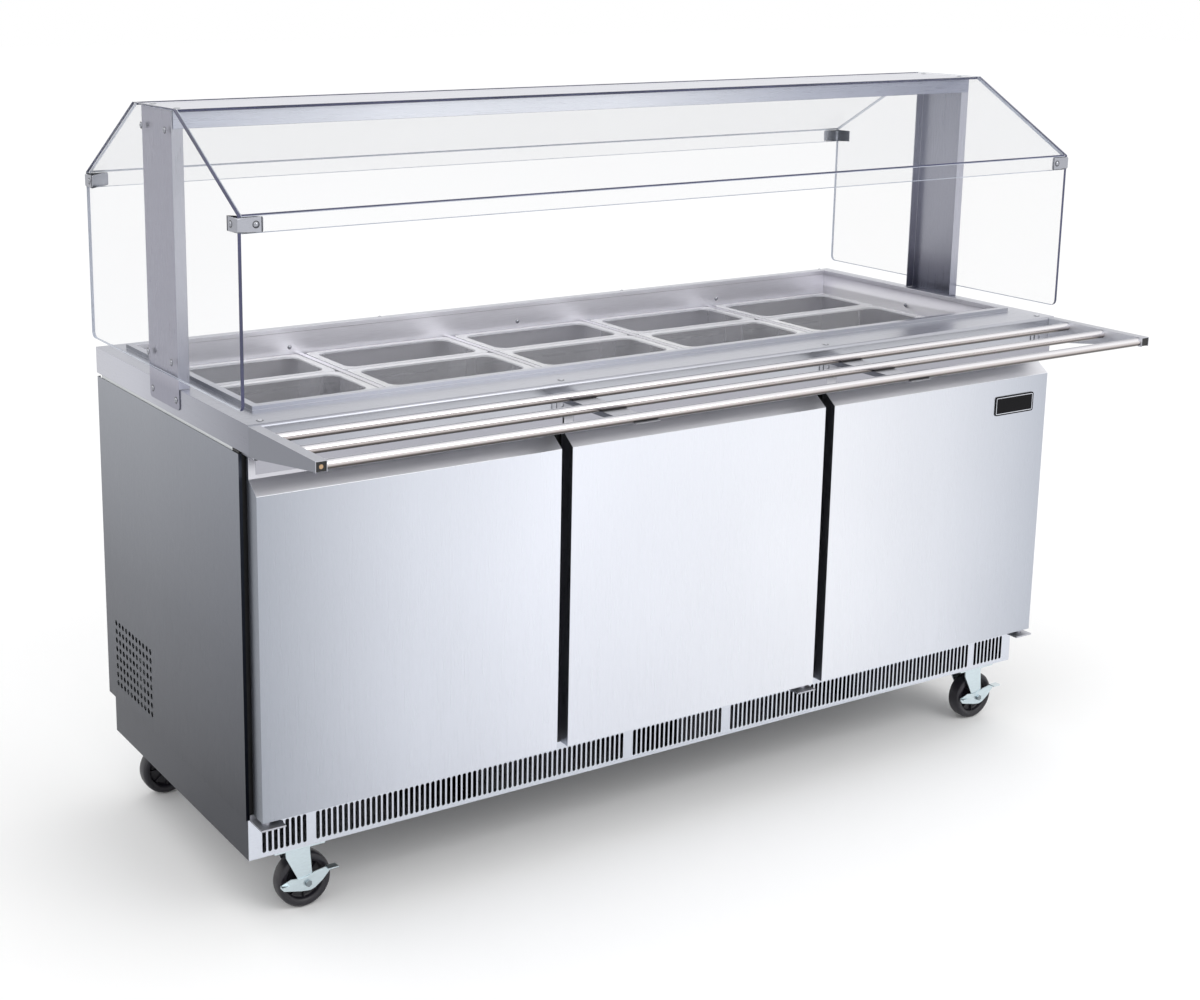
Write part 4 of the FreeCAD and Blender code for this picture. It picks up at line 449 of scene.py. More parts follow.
class Finish(Enum):
    """Every finish of the salad bar."""
    # Stainless sheet, belt brushed along the counter: soft grey with long fine lines, and a
    # painted reflection that greys it toward the left end.
    COUNTER = Steel("brushed_stainless_counter", "#b4b6bd", "#9a9ca1", "#c3c4cc", "#6f7176",
                    grain_mm=(80.0, 0.9),
                    fades=(Fade(0, ((-914.0, "#e0e1e4"), (-620.0, "#ffffff"))),))
    # The same sheet at the folded ends, greyer toward the front as a painted reflection.
    COUNTER_END = Steel("brushed_stainless_counter_end", "#b4b6bd", "#b9bac2", "#c3c4cc",
                        "#6f7176", grain=Grain.ALONG_Y, grain_mm=(80.0, 0.9),
                        fades=(Fade(1, ((-330.0, "#92949b"), (-40.0, "#cdced2"), (250.0, "#fafafc"),
                                        (465.0, "#ffffff"))),))
    # Satin stainless, rolled but not brushed: pale, with blurred highlights.
    WELL = Steel("satin_stainless_well", "#f4f3f9", "#d3d2d9", "#dddce2", "#6c6a6a",
                 grain_mm=(40.0, 1.0), roughness=(0.34, 0.46))
    # Satin stainless strips between the pans, brushed across the counter.
    BAR = Steel("satin_stainless_bar", "#c9c8cd", "#b1b0b5", "#d5d4da", "#77767a",
                grain=Grain.ALONG_Y, grain_mm=(40.0, 1.0))
    # Stainless sheet brushed upright, with a painted reflection: near white in the middle of the
    # row, greyer at its ends.
    DOOR = Steel("brushed_stainless_door", "#e0e2e8", "#b5b8bf", "#c4c7ce", "#8b8e94",
                 grain=Grain.ALONG_Z, grain_mm=(90.0, 0.8), contrast=0.03,
                 fades=(Fade(0, ((-904.0, "#b5b8bd"), (-610.0, "#e7e9ed"), (-320.0, "#fbfcff"),
                                 (310.0, "#ffffff"), (610.0, "#f0f1f3"),
                                 (904.0, "#cccfd4"))),))
    # Painted highlight: a thin bright line along the fold at the top of the door's front.
    DOOR_FOLD = Steel("door_fold_painted_highlight", "#f4f6fa", "#d5d8de", "#fafbfd", "#8b8e94",
                      grain_mm=(90.0, 0.8), contrast=0.02)
    # Brushed lip above the finger recess, darkened by painted shade from the tray slide.
    DOOR_LIP = Steel("brushed_stainless_door_lip", "#a3a3ab", "#8f8f96", "#a9aab0", "#54555b",
                     grain_mm=(90.0, 0.8), contrast=0.03)
    # Brushed finger recess, duller than the door, and kept pale by painted light in the tray
    # slide's shade.
    RECESS = Steel("brushed_stainless_recess", "#d3d3d9", "#a9aab0", "#f0f0f4", "#8b8c92",
                   grain_mm=(90.0, 0.8), contrast=0.03, roughness=(0.42, 0.52))
    # Stainless side sheet brushed upright, with a painted reflection of a dark floor: it darkens
    # downward, and a little toward the front.
    SIDE = Steel("brushed_stainless_side_panel", "#8b8e95", "#ffffff", "#b4b6bb", "#5b5d61",
                 grain=Grain.ALONG_Z, grain_mm=(80.0, 0.9), contrast=0.03,
                 fades=(Fade(2, ((204.0, "#2f323b"), (480.0, "#575a62"), (842.0, "#868991"))),
                        Fade(1, ((-190.0, "#e6e7ea"), (200.0, "#ffffff")))))
    # Brushed post on the near side: mid grey, with painted shade a little darker at its foot.
    POST = Steel("brushed_stainless_post", "#b4b5bd", "#9b9aa6", "#d5d7e0", "#85878f",
                 grain=Grain.ALONG_Z, contrast=0.04,
                 fades=(Fade(2, ((892.0, "#dfe0e5"), (912.0, "#fafafc"), (1375.0, "#ffffff"))),))
    # Brushed post on the far side, seen from inside: a second copy of the post's steel with
    # painted tones of its own, and painted shade at its foot.
    FAR_POST = Steel("brushed_stainless_far_post", "#b6b7c2", "#94959f", "#d5d7e0", "#85878f",
                     grain=Grain.ALONG_Z, contrast=0.04,
                     fades=(Fade(2, ((905.0, "#c4c5cc"), (990.0, "#ffffff"))),))
    # Brushed beam with a painted reflection of the lamps: bright in the middle, greyer at its
    # ends.
    BEAM = Steel("brushed_stainless_beam", "#eceef4", "#9a9ca5", "#f4f5f9", "#a6a8b1",
                 contrast=0.03,
                 fades=(Fade(0, ((-914.0, "#cbcdd5"), (-490.0, "#fcfdff"), (0.0, "#fcfdff"),
                                 (464.0, "#c6c8d2"), (800.0, "#aaacb8"))),))
    # Brushed top plate of the beam: even pale grey.
    CAP = Steel("brushed_stainless_cap", "#b4b6bd", "#9a9ca5", "#d6d7df", "#a6a8b1",
                contrast=0.03)
    # Brushed bracket sheet with a dull finish: flanks greyed by painted shade under pale tops.
    BRACKET = Steel("brushed_stainless_bracket", "#b9bac1", "#84868e", "#c6c7cd", "#6a6b72",
                    contrast=0.04, roughness=(0.46, 0.56))
    # Bead-blasted steel on the middle brackets' tops: even pale grey without mirroring.
    BRACKET_TOP = Moulded("satin_steel_bracket_top", "#c6c7cd", "#b9bac1",
                          roughness=(0.5, 0.6), speck_mm=2.0, metallic=0.3)
    # Inner side of the right bracket, which faces the light: a paler copy of the bracket sheet,
    # with painted light on its flank.
    BRACKET_INNER = Steel("brushed_stainless_bracket_inner", "#b9bac1", "#d3d4da", "#c6c7cd",
                          "#8a8b92", contrast=0.04, roughness=(0.46, 0.56))
    # Brushed grille and base sheet: pale in front, and near black at the side as painted shade
    # in the slots.
    GRILLE = Steel("brushed_stainless_grille", "#d3d7e0", "#30333c", "#b4b6bb", "#6c6e73",
                   contrast=0.03)
    # Polished stainless tube with a painted reflection: a white band over a dark one, all along
    # it.
    TUBE = PolishedBar("polished_stainless_tube",
                       ((-1.0, "#5a5553"), (-0.45, "#4b4644"), (-0.12, "#aba3a1"),
                        (0.15, "#d9d3d3"), (0.5, "#fbf9fb"), (0.85, "#e6e4e8"),
                        (1.0, "#a9a9b0")))
    # Polished stainless screw head: grey flank and a painted highlight on top.
    SCREW = Steel("polished_stainless_screw", "#a2a4ab", "#8f9198", "#e2e4e8", "#5b5d62",
                  contrast=0.02, roughness=(0.12, 0.2))
    # Satin stainless clip: dull grey with short lines.
    CLIP = Steel("satin_stainless_clip", "#a9abb3", "#94969e", "#c9cbd1", "#6b6d72",
                 grain_mm=(20.0, 1.0), contrast=0.04)
    # Bright zinc bolt head: darker than the plated fork round it.
    BOLT = Steel("bright_zinc_bolt", "#8d969b", "#7a8388", "#c3cbd0", "#5d6468",
                 grain_mm=(6.0, 2.0), contrast=0.04, roughness=(0.2, 0.3))
    # Zinc-plated pressed steel: pale blue-grey, with its mottling drawn coarser than real.
    ZINC = Steel("zinc_plated_steel", "#d2dfe4", "#b4c3c9", "#dfe8eb", "#8a9498",
                 grain_mm=(12.0, 3.0), contrast=0.05, roughness=(0.3, 0.45))
    # Galvanised sheet: dull grey with broad zinc spangle.
    GALVANISED = Steel("galvanised_sheet", "#8f9498", "#85898d", "#9da2a6", "#5c5f62",
                       grain_mm=(18.0, 9.0), contrast=0.08, roughness=(0.4, 0.55))
    # Extruded black PVC: dull black.
    BLACK_TRIM = Moulded("black_extruded_pvc", "#141416", "#0a0a0b")
    # Black printed plate: even black with hardly any shine.
    BADGE = Moulded("black_gloss_badge", "#0e0e12", "#08080b", roughness=(0.3, 0.4),
                    specular=0.08)
    # Chromed line inside the plate's edge: thin and bright.
    BADGE_EDGE = Moulded("bright_badge_border", "#d9dbe2", "#c9ccd4", roughness=(0.2, 0.3),
                         metallic=1.0)
    # Painted shade round a screw's head: a dark ring where the head meets the sheet.
    SCREW_SHADE = Moulded("screw_rim_painted_shade", "#3c3d43", "#2c2d32")
    # Moulded nylon plug: dull tan.
    PLUG = Moulded("tan_plastic_plug", "#b99c7a", "#a88a68")
    # Moulded cabinet lining: dull pale grey.
    CAVITY = Moulded("pale_cabinet_lining", "#c9ccce", "#bcbfc1")
    # Vacuum-formed ABS: soft white.
    DOOR_LINING = Moulded("white_moulded_abs", "#e4e5e6", "#dadbdc")
    # Flexible magnetic PVC seal: dull black.
    SEAL = Moulded("black_magnetic_seal", "#1a1a1c", "#101012", roughness=(0.55, 0.7))
    # Hard rubber tyre and moulded hub: black with a slight sheen.
    WHEEL = Moulded("black_hard_rubber", "#23212a", "#151319", roughness=(0.3, 0.45))
    # Stacked aluminium fins: pale grey metal.
    FINS = Moulded("aluminium_fins", "#b0b4b8", "#9aa0a4", metallic=1.0)
    # Black enamel on pressed steel: smooth and glossy.
    COMPRESSOR = Moulded("black_enamel", "#1a1b1d", "#111214", roughness=(0.2, 0.3))
    # Moulded glass-filled nylon: dull black.
    FAN = Moulded("black_glass_filled_nylon", "#1c1d1f", "#131415")
    # Plastic-coated steel wire: pale grey.
    WIRE = Moulded("pale_grey_coated_wire", "#d0d3d4", "#c0c3c4")
    # Clear float glass: nearly invisible head-on, with a faint grey veil.
    GLASS = ClearSheet("clear_float_glass", "#7c8290", 0.05, 0.13, pale="#9aa0ad")
    # Clear moulded polycarbonate: see-through floor, greyer walls where seen aslant.
    PAN = ClearSheet("clear_polycarbonate_pan", "#dadae6", 0.13, 0.64)
    # The pan's thick rolled rim: milky white.
    PAN_RIM = ClearSheet("clear_polycarbonate_rim", "#eeeff5", 0.45, 0.92)
    # Ground and polished glass edge toward the viewer: deep blue, painted shade where the edge
    # is seen end-on.
    GLASS_EDGE = Moulded("polished_glass_edge", "#4a4c6b", "#2f3149", roughness=(0.1, 0.2))
    # The same polished glass edge with painted light, where it lets the light through: pale
    # blue-grey.
    PALE_GLASS_EDGE = Moulded("pale_polished_glass_edge", "#c2c7d2", "#a9afbd",
                              roughness=(0.1, 0.2))
    # Polished edge of the rear glass: paler still, with more painted light.
    FAR_GLASS_EDGE = Moulded("far_polished_glass_edge", "#dfe2e9", "#cdd2dc",
                             roughness=(0.1, 0.2))

    def material(self) -> bpy.types.Material:
        """The finish's material, made the first time it is asked for."""
        return bpy.data.materials.get(self.value.name) or self.value.build()


# ---------------------------------------------------------------- bench
@dataclass(frozen=True)
class Facet:
    """What a face test sees: centre in millimetres, normal, and area over longest edge."""
    centre: Vector
    normal: Vector
    breadth: float


FaceTest = Callable[[Facet], bool]
EdgeTest = Callable[[Vector, Vector], bool]
MERGE_MM = 0.01
SPIN_MERGE_MM = 0.005
FLAT_ANGLE = 0.5
SMOOTH_ANGLE = 32.0
# A face is turned along an axis when that part of its normal is past one of these.
SQUARE_ON = 0.9
UPWARD = 0.7
MOSTLY = 0.5
ASLANT = 0.3
# Two points are level when they differ by less than SAME, and apart when by more than APART.
SAME = 0.1
APART = 1.0


def select_only(*things: bpy.types.Object) -> None:
    """Select some objects and make the first of them active.

    Args:
        things: Objects to select.
    """
    bpy.ops.object.select_all(action="DESELECT")
    for thing in things:
        thing.select_set(True)
    bpy.context.view_layer.objects.active = things[0]


class Workpiece:
    """An object on the bench with the tools that shape it.
    """

    def __init__(self, thing: bpy.types.Object, name: str) -> None:
        """Put an object on the bench.

        Args:
            thing: Object to shape.
            name: Name for the object and its mesh.
        """
        self.thing = thing
        thing.name = thing.data.name = name

    @classmethod
    def block(cls, name: str, low: Sequence[float], high: Sequence[float]) -> "Workpiece":
        """Start from a block.

        Args:
            name: Name of the piece.
            low: Lowest corner.
            high: Highest corner.

        Returns:
            The piece.
        """
        bpy.ops.mesh.primitive_cube_add(size=1.0)
        piece = cls(bpy.context.object, name)
        middle = [(a + b) / 2 * MM for a, b in zip(low, high)]
        sizes = [(b - a) * MM for a, b in zip(low, high)]
        with piece.editing():
            bpy.ops.mesh.select_all(action="SELECT")
            bpy.ops.transform.resize(value=sizes)
            bpy.ops.transform.translate(value=middle)
        return piece

    @classmethod
    def rod(cls, name: str, start: Sequence[float], end: Sequence[float], radius: float,
            sides: int = 48) -> "Workpiece":
        """Start from a rod with flat ends.

        Args:
            name: Name of the piece.
            start: Middle of one end.
            end: Middle of the other end.
            radius: Radius of the rod.
            sides: How many flat sides stand in for the round.

        Returns:
            The piece.
        """
        axis = (Vector(end) - Vector(start)) * MM
        middle = (Vector(end) + Vector(start)) / 2 * MM
        bpy.ops.mesh.primitive_cylinder_add(vertices=sides, radius=radius * MM,
                                            depth=axis.length, location=middle,
                                            rotation=axis.to_track_quat("Z", "Y").to_euler())
        bpy.ops.object.transform_apply(location=True, rotation=True, scale=True)
        return cls(bpy.context.object, name)

    @classmethod
    def outline(cls, name: str, corners: Sequence[Sequence[float]],
                filled: bool = True) -> "Workpiece":
        """Start from a flat outline: a circle whose points are moved to the corners.

        Args:
            name: Name of the piece.
            corners: The outline's corners in order.
            filled: Whether the outline is a face or only a loop of edges.

        Returns:
            The piece.
        """
        bpy.ops.mesh.primitive_circle_add(vertices=len(corners), radius=1.0,
                                          fill_type="NGON" if filled else "NOTHING")
        piece = cls(bpy.context.object, name)
        for index, corner in enumerate(corners):
            piece.select_point(index)
            way = Vector(corner) * MM - piece.thing.data.vertices[index].co
            with piece.editing():
                bpy.ops.transform.translate(value=way)
        return piece

    @classmethod
    def of_node(cls, node: str) -> "Workpiece":
        """Start from a merged copy of a CAD node, with its flat faces whole again.

        Args:
            node: Name of the CAD node.

        Returns:
            The piece, named after the node.
        """
        thing = bpy.data.objects.new(node, frame["nodes"][node].data.copy())
        bpy.context.scene.collection.objects.link(thing)
        piece = cls(thing, f"{node}_skin")
        with piece.editing():
            bpy.ops.mesh.select_all(action="SELECT")
            bpy.ops.mesh.remove_doubles(threshold=MERGE_MM * MM)
            bpy.ops.mesh.dissolve_limited(angle_limit=math.radians(FLAT_ANGLE))
            bpy.ops.transform.translate(value=(0.0, -ROW_SHIFT, 0.0))
        return piece

    @contextmanager
    def editing(self) -> Iterator[None]:
        """Hold the piece in edit mode.

        Yields:
            Nothing; the piece is in edit mode until the block ends.
        """
        select_only(self.thing)
        bpy.ops.object.mode_set(mode="EDIT")
        try:
            yield
        finally:
            bpy.ops.object.mode_set(mode="OBJECT")

    def facets(self) -> list[Facet]:
        """Describe every face as a face test sees it.

        Returns:
            One facet for each face, in the mesh's order.
        """
        mesh = self.thing.data
        spots = [point.co / MM for point in mesh.vertices]
        found = []
        for face in mesh.polygons:
            ring = [spots[index] for index in face.vertices]
            longest = max((a - b).length for a, b in zip(ring, ring[1:] + ring[:1]))
            found.append(Facet(face.center / MM, face.normal.copy(),
                               face.area / MM ** 2 / max(longest, 1e-6)))
        return found

    def deselect(self, point: bool = False, edge: bool = False, face: bool = False) -> None:
        """Deselect the whole mesh and choose what the next selection is made of.

        Args:
            point: Whether points are picked next.
            edge: Whether edges are picked next.
            face: Whether faces are picked next.
        """
        bpy.context.tool_settings.mesh_select_mode = (point, edge, face)
        mesh = self.thing.data
        for item in (*mesh.vertices, *mesh.edges, *mesh.polygons):
            item.select = False

    def select_point(self, index: int) -> None:
        """Select one point, ready for editing.

        Args:
            index: The point's place in the mesh.
        """
        self.deselect(point=True)
        self.thing.data.vertices[index].select = True

    def select_edges(self, test: EdgeTest) -> None:
        """Select the edges whose two ends pass a test, ready for editing.

        Args:
            test: Test of an edge's two ends, in millimetres.
        """
        self.deselect(edge=True)
        mesh = self.thing.data
        for edge in mesh.edges:
            edge.select = test(*(mesh.vertices[index].co / MM for index in edge.vertices))

    def select_faces(self, test: FaceTest) -> None:
        """Select the faces that pass a test, ready for editing.

        Args:
            test: Test of a face.
        """
        self.deselect(face=True)
        for face, facet in zip(self.thing.data.polygons, self.facets()):
            face.select = test(facet)

    def extrude(self, test: FaceTest, move: Sequence[float]) -> "Workpiece":
        """Extrude faces.

        Args:
            test: Test that picks the faces.
            move: Way and distance of the extrusion.

        Returns:
            The piece itself.
        """
        self.select_faces(test)
        with self.editing():
            bpy.ops.mesh.extrude_region_move(
                TRANSFORM_OT_translate={"value": tuple(part * MM for part in move)})
            bpy.ops.mesh.select_all(action="SELECT")
            bpy.ops.mesh.normals_make_consistent(inside=False)
        return self

    def inset(self, test: FaceTest, width: float, depth: float = 0.0) -> "Workpiece":
        """Inset faces and sink them.

        Args:
            test: Test that picks the faces.
            width: Width of the border that the inset leaves.
            depth: How far the inner face sinks.

        Returns:
            The piece itself.
        """
        self.select_faces(test)
        with self.editing():
            bpy.ops.mesh.inset(thickness=width * MM, depth=-depth * MM)
        return self

    def bevel(self, test: EdgeTest, width: float, segments: int = 3) -> "Workpiece":
        """Round chosen edges.

        Args:
            test: Test that picks the edges.
            width: Distance from the edge to where the round starts.
            segments: How many faces stand in for the round.

        Returns:
            The piece itself.
        """
        self.select_edges(test)
        with self.editing():
            bpy.ops.mesh.bevel(offset=width * MM, segments=segments, affect="EDGES")
        return self

    def spin(self, axis: Sequence[float], steps: int = 72) -> "Workpiece":
        """Turn a closed outline right round an axis through the bench's middle.

        Args:
            axis: Way of the axis.
            steps: How many faces stand in for the round.

        Returns:
            The piece itself.
        """
        with self.editing():
            bpy.ops.mesh.select_all(action="SELECT")
            bpy.ops.mesh.spin(steps=steps, angle=2 * math.pi, center=(0.0, 0.0, 0.0), axis=axis)
            bpy.ops.mesh.select_all(action="SELECT")
            bpy.ops.mesh.remove_doubles(threshold=SPIN_MERGE_MM * MM)
        return self

    def rounded(self, width: float, segments: int = 2, angle: float = 35.0) -> "Workpiece":
        """Round every sharp edge with a bevel modifier, applied at once.

        Args:
            width: Distance from an edge to where its round starts.
            segments: How many faces stand in for the round.
            angle: Angle in degrees past which an edge is sharp.

        Returns:
            The piece itself.
        """
        select_only(self.thing)
        bevel = self.thing.modifiers.new("rounding", "BEVEL")
        bevel.width, bevel.segments = width * MM, segments
        bevel.limit_method, bevel.angle_limit = "ANGLE", math.radians(angle)
        bevel.harden_normals = False
        bpy.ops.object.modifier_apply(modifier=bevel.name)
        return self

    def carried(self, matrix: Matrix) -> "Workpiece":
        """Carry the piece to another place and apply that place to its mesh.

        Args:
            matrix: Turn and move, in metres.

        Returns:
            The piece itself.
        """
        select_only(self.thing)
        self.thing.matrix_world = matrix
        bpy.ops.object.transform_apply(location=True, rotation=True, scale=True)
        return self

    def moved(self, move: Sequence[float], turn: float = 0.0, axis: str = "Y") -> "Workpiece":
        """Turn the piece about the bench's middle, then move it.

        Args:
            move: Way and distance of the move.
            turn: Turn in degrees.
            axis: Letter of the axis that it turns about.

        Returns:
            The piece itself.
        """
        return self.carried(Matrix.Translation(Vector(move) * MM)
                            @ Matrix.Rotation(math.radians(turn), 4, axis))

    def stood(self, foot: Vector, out: Vector) -> "Workpiece":
        """Stand a piece, drawn upright at the bench's middle, on a face.

        Args:
            foot: Spot that it stands on.
            out: Way that its top points.

        Returns:
            The piece itself.
        """
        turn = out.to_track_quat("Z", "Y").to_matrix().to_4x4()
        return self.carried(Matrix.Translation(foot * MM) @ turn)

    def twin(self, name: str) -> "Workpiece":
        """Copy the piece with its own mesh.

        Args:
            name: Name of the copy.

        Returns:
            The copy.
        """
        thing = self.thing.copy()
        thing.data = self.thing.data.copy()
        bpy.context.scene.collection.objects.link(thing)
        return Workpiece(thing, name)

    def join(self, others: Sequence["Workpiece"]) -> "Workpiece":
        """Take other pieces into this one.

        Args:
            others: Pieces that end inside this one.

        Returns:
            The piece itself.
        """
        select_only(self.thing, *(other.thing for other in others))
        bpy.ops.object.join()
        return self

    def discard(self) -> None:
        """Clear the piece off the bench once its copies are made."""
        bpy.data.objects.remove(self.thing)

    def paint(self, finish: Finish, test: Optional[FaceTest] = None) -> "Workpiece":
        """Give the piece a finish.

        Args:
            finish: The finish.
            test: Test that picks the faces, or none for the whole piece.

        Returns:
            The piece itself.
        """
        slots = self.thing.data.materials
        if test is None:
            slots.clear()
        slots.append(finish.material())
        if test is not None:
            for face, facet in zip(self.thing.data.polygons, self.facets()):
                if test(facet):
                    face.material_index = len(slots) - 1
        return self

    def finish(self, body: str, slot: str, *nodes: str) -> bpy.types.Object:
        """Set normals and smoothness, carry the piece to the frame and hang it on its body.

        Args:
            body: Body that carries the piece.
            slot: Material slot of the record; not used.
            nodes: CAD nodes that the piece stands in for.

        Returns:
            The finished object.
        """
        self.moved((0.0, ROW_SHIFT / MM, 0.0))
        with self.editing():
            bpy.ops.mesh.select_all(action="SELECT")
            bpy.ops.mesh.normals_make_consistent(inside=False)
        bpy.ops.object.shade_smooth_by_angle(angle=math.radians(SMOOTH_ANGLE))
        weigh = self.thing.modifiers.new("flat_faces_stay_flat", "WEIGHTED_NORMAL")
        weigh.weight, weigh.keep_sharp = 100, True
        bpy.ops.object.modifier_apply(modifier=weigh.name)
        for node in nodes:
            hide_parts(node)
        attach(self.thing, body)
        LOG.info("%s: %d faces on %s", self.thing.name, len(self.thing.data.polygons), body)
        return self.thing

    def finish_node(self, node: str) -> bpy.types.Object:
        """Finish a piece that stands in for one node, on that node's body.

        Args:
            node: Name of the node.

        Returns:
            The finished object.
        """
        return self.finish(BODY_OF_NODE[node], SLOT_OF_NODE[node], node)


def dress(node: str, finish: Finish) -> None:
    """Give a CAD node one finish and leave its shape alone.

    Args:
        node: Name of the node.
        finish: Its finish.
    """
    target = frame["nodes"][node]
    target.data.materials.clear()
    target.data.materials.append(finish.material())
    LOG.info("%s: %s", node, finish.value.name)


# ---------------------------------------------------------------- counter, well and pans
@dataclass
class Counter:
    """Folded countertop with softened edges, its well and the pans.

    The folded ends are the faces within end_band of an end. The opening's raised lip lies
    lip_inset or more inside the ends and less than lip_half from the middle line.
    """
    half_length: float = 914.5
    end_band: float = 1.0
    lip_inset: float = 9.0
    lip_half: float = 340.0
    edge_round: float = 0.8
    bar_round: float = 0.6
    stations: int = 5
    rim_drop: float = 5.0
    pan_top: float = 853.0

    def build(self) -> None:
        """Build the counter, the well and the pans."""
        counter = Workpiece.of_node("countertop").rounded(self.edge_round)
        counter.paint(Finish.COUNTER)
        counter.paint(Finish.COUNTER_END, self.on_end)
        # Painted light: the lip's inner faces take the well's pale tones instead of the shade they
        # would mirror.
        counter.paint(Finish.WELL, self.on_lip)
        counter.finish_node("countertop")
        Workpiece.of_node("pan_well").paint(Finish.WELL).finish_node("pan_well")
        bars = Workpiece.of_node("pan_support_bars").rounded(self.bar_round)
        bars.paint(Finish.BAR).finish_node("pan_support_bars")
        for station in range(1, self.stations + 1):
            self.pan(f"pans_station_{station}")

    def on_end(self, face: Facet) -> bool:
        """Whether a face is one of the counter's folded ends."""
        return (abs(face.normal.x) > SQUARE_ON
                and abs(face.centre.x) > self.half_length - self.end_band)

    def on_lip(self, face: Facet) -> bool:
        """Whether a face is upright, on the opening's raised lip, and turned to the middle.

        Args:
            face: Face of the countertop.

        Returns:
            True for a face of the lip's inside.
        """
        inward = face.normal.x * face.centre.x + face.normal.y * face.centre.y < 0.0
        return (inward and abs(face.normal.z) < MOSTLY and abs(face.centre.y) < self.lip_half
                and abs(face.centre.x) < self.half_length - self.lip_inset)

    def pan(self, node: str) -> None:
        """Dress three pans: see-through walls under a paler rim.

        Args:
            node: Name of a station's pans.
        """
        pan = Workpiece.of_node(node).paint(Finish.PAN)
        pan.paint(Finish.PAN_RIM, lambda f: f.centre.z > self.pan_top - self.rim_drop)
        pan.finish_node(node)


# ---------------------------------------------------------------- cabinet
@dataclass
class Cabinet:
    """Side panels, frame, back, tub, shelves and machines."""
    edge_round: float = 0.5

    def build(self) -> None:
        """Build or dress the cabinet's pieces."""
        for node in ("side_panel_left", "side_panel_right"):
            panel = Workpiece.of_node(node).rounded(self.edge_round)
            panel.paint(Finish.SIDE).finish_node(node)
        dressed = {
            Finish.BLACK_TRIM: ("front_frame", "thermostat"),
            Finish.CAVITY: ("insulated_tub",),
            Finish.GALVANISED: ("back_panel", "fan_shroud", "evaporator_cover", "drain_pan",
                                "shelf_strips"),
            Finish.GRILLE: ("front_grille", "base_frame"),
            Finish.FINS: ("condenser_coil", "evaporator_coil"),
        }
        for finish, nodes in dressed.items():
            for node in nodes:
                dress(node, finish)
        smooth = {
            Finish.COMPRESSOR: ("compressor", "fan_motors"),
            Finish.FAN: ("condenser_fan", "evaporator_fan"),
            Finish.WIRE: ("wire_shelves",),
        }
        for finish, nodes in smooth.items():
            for node in nodes:
                Workpiece.of_node(node).paint(finish).finish_node(node)


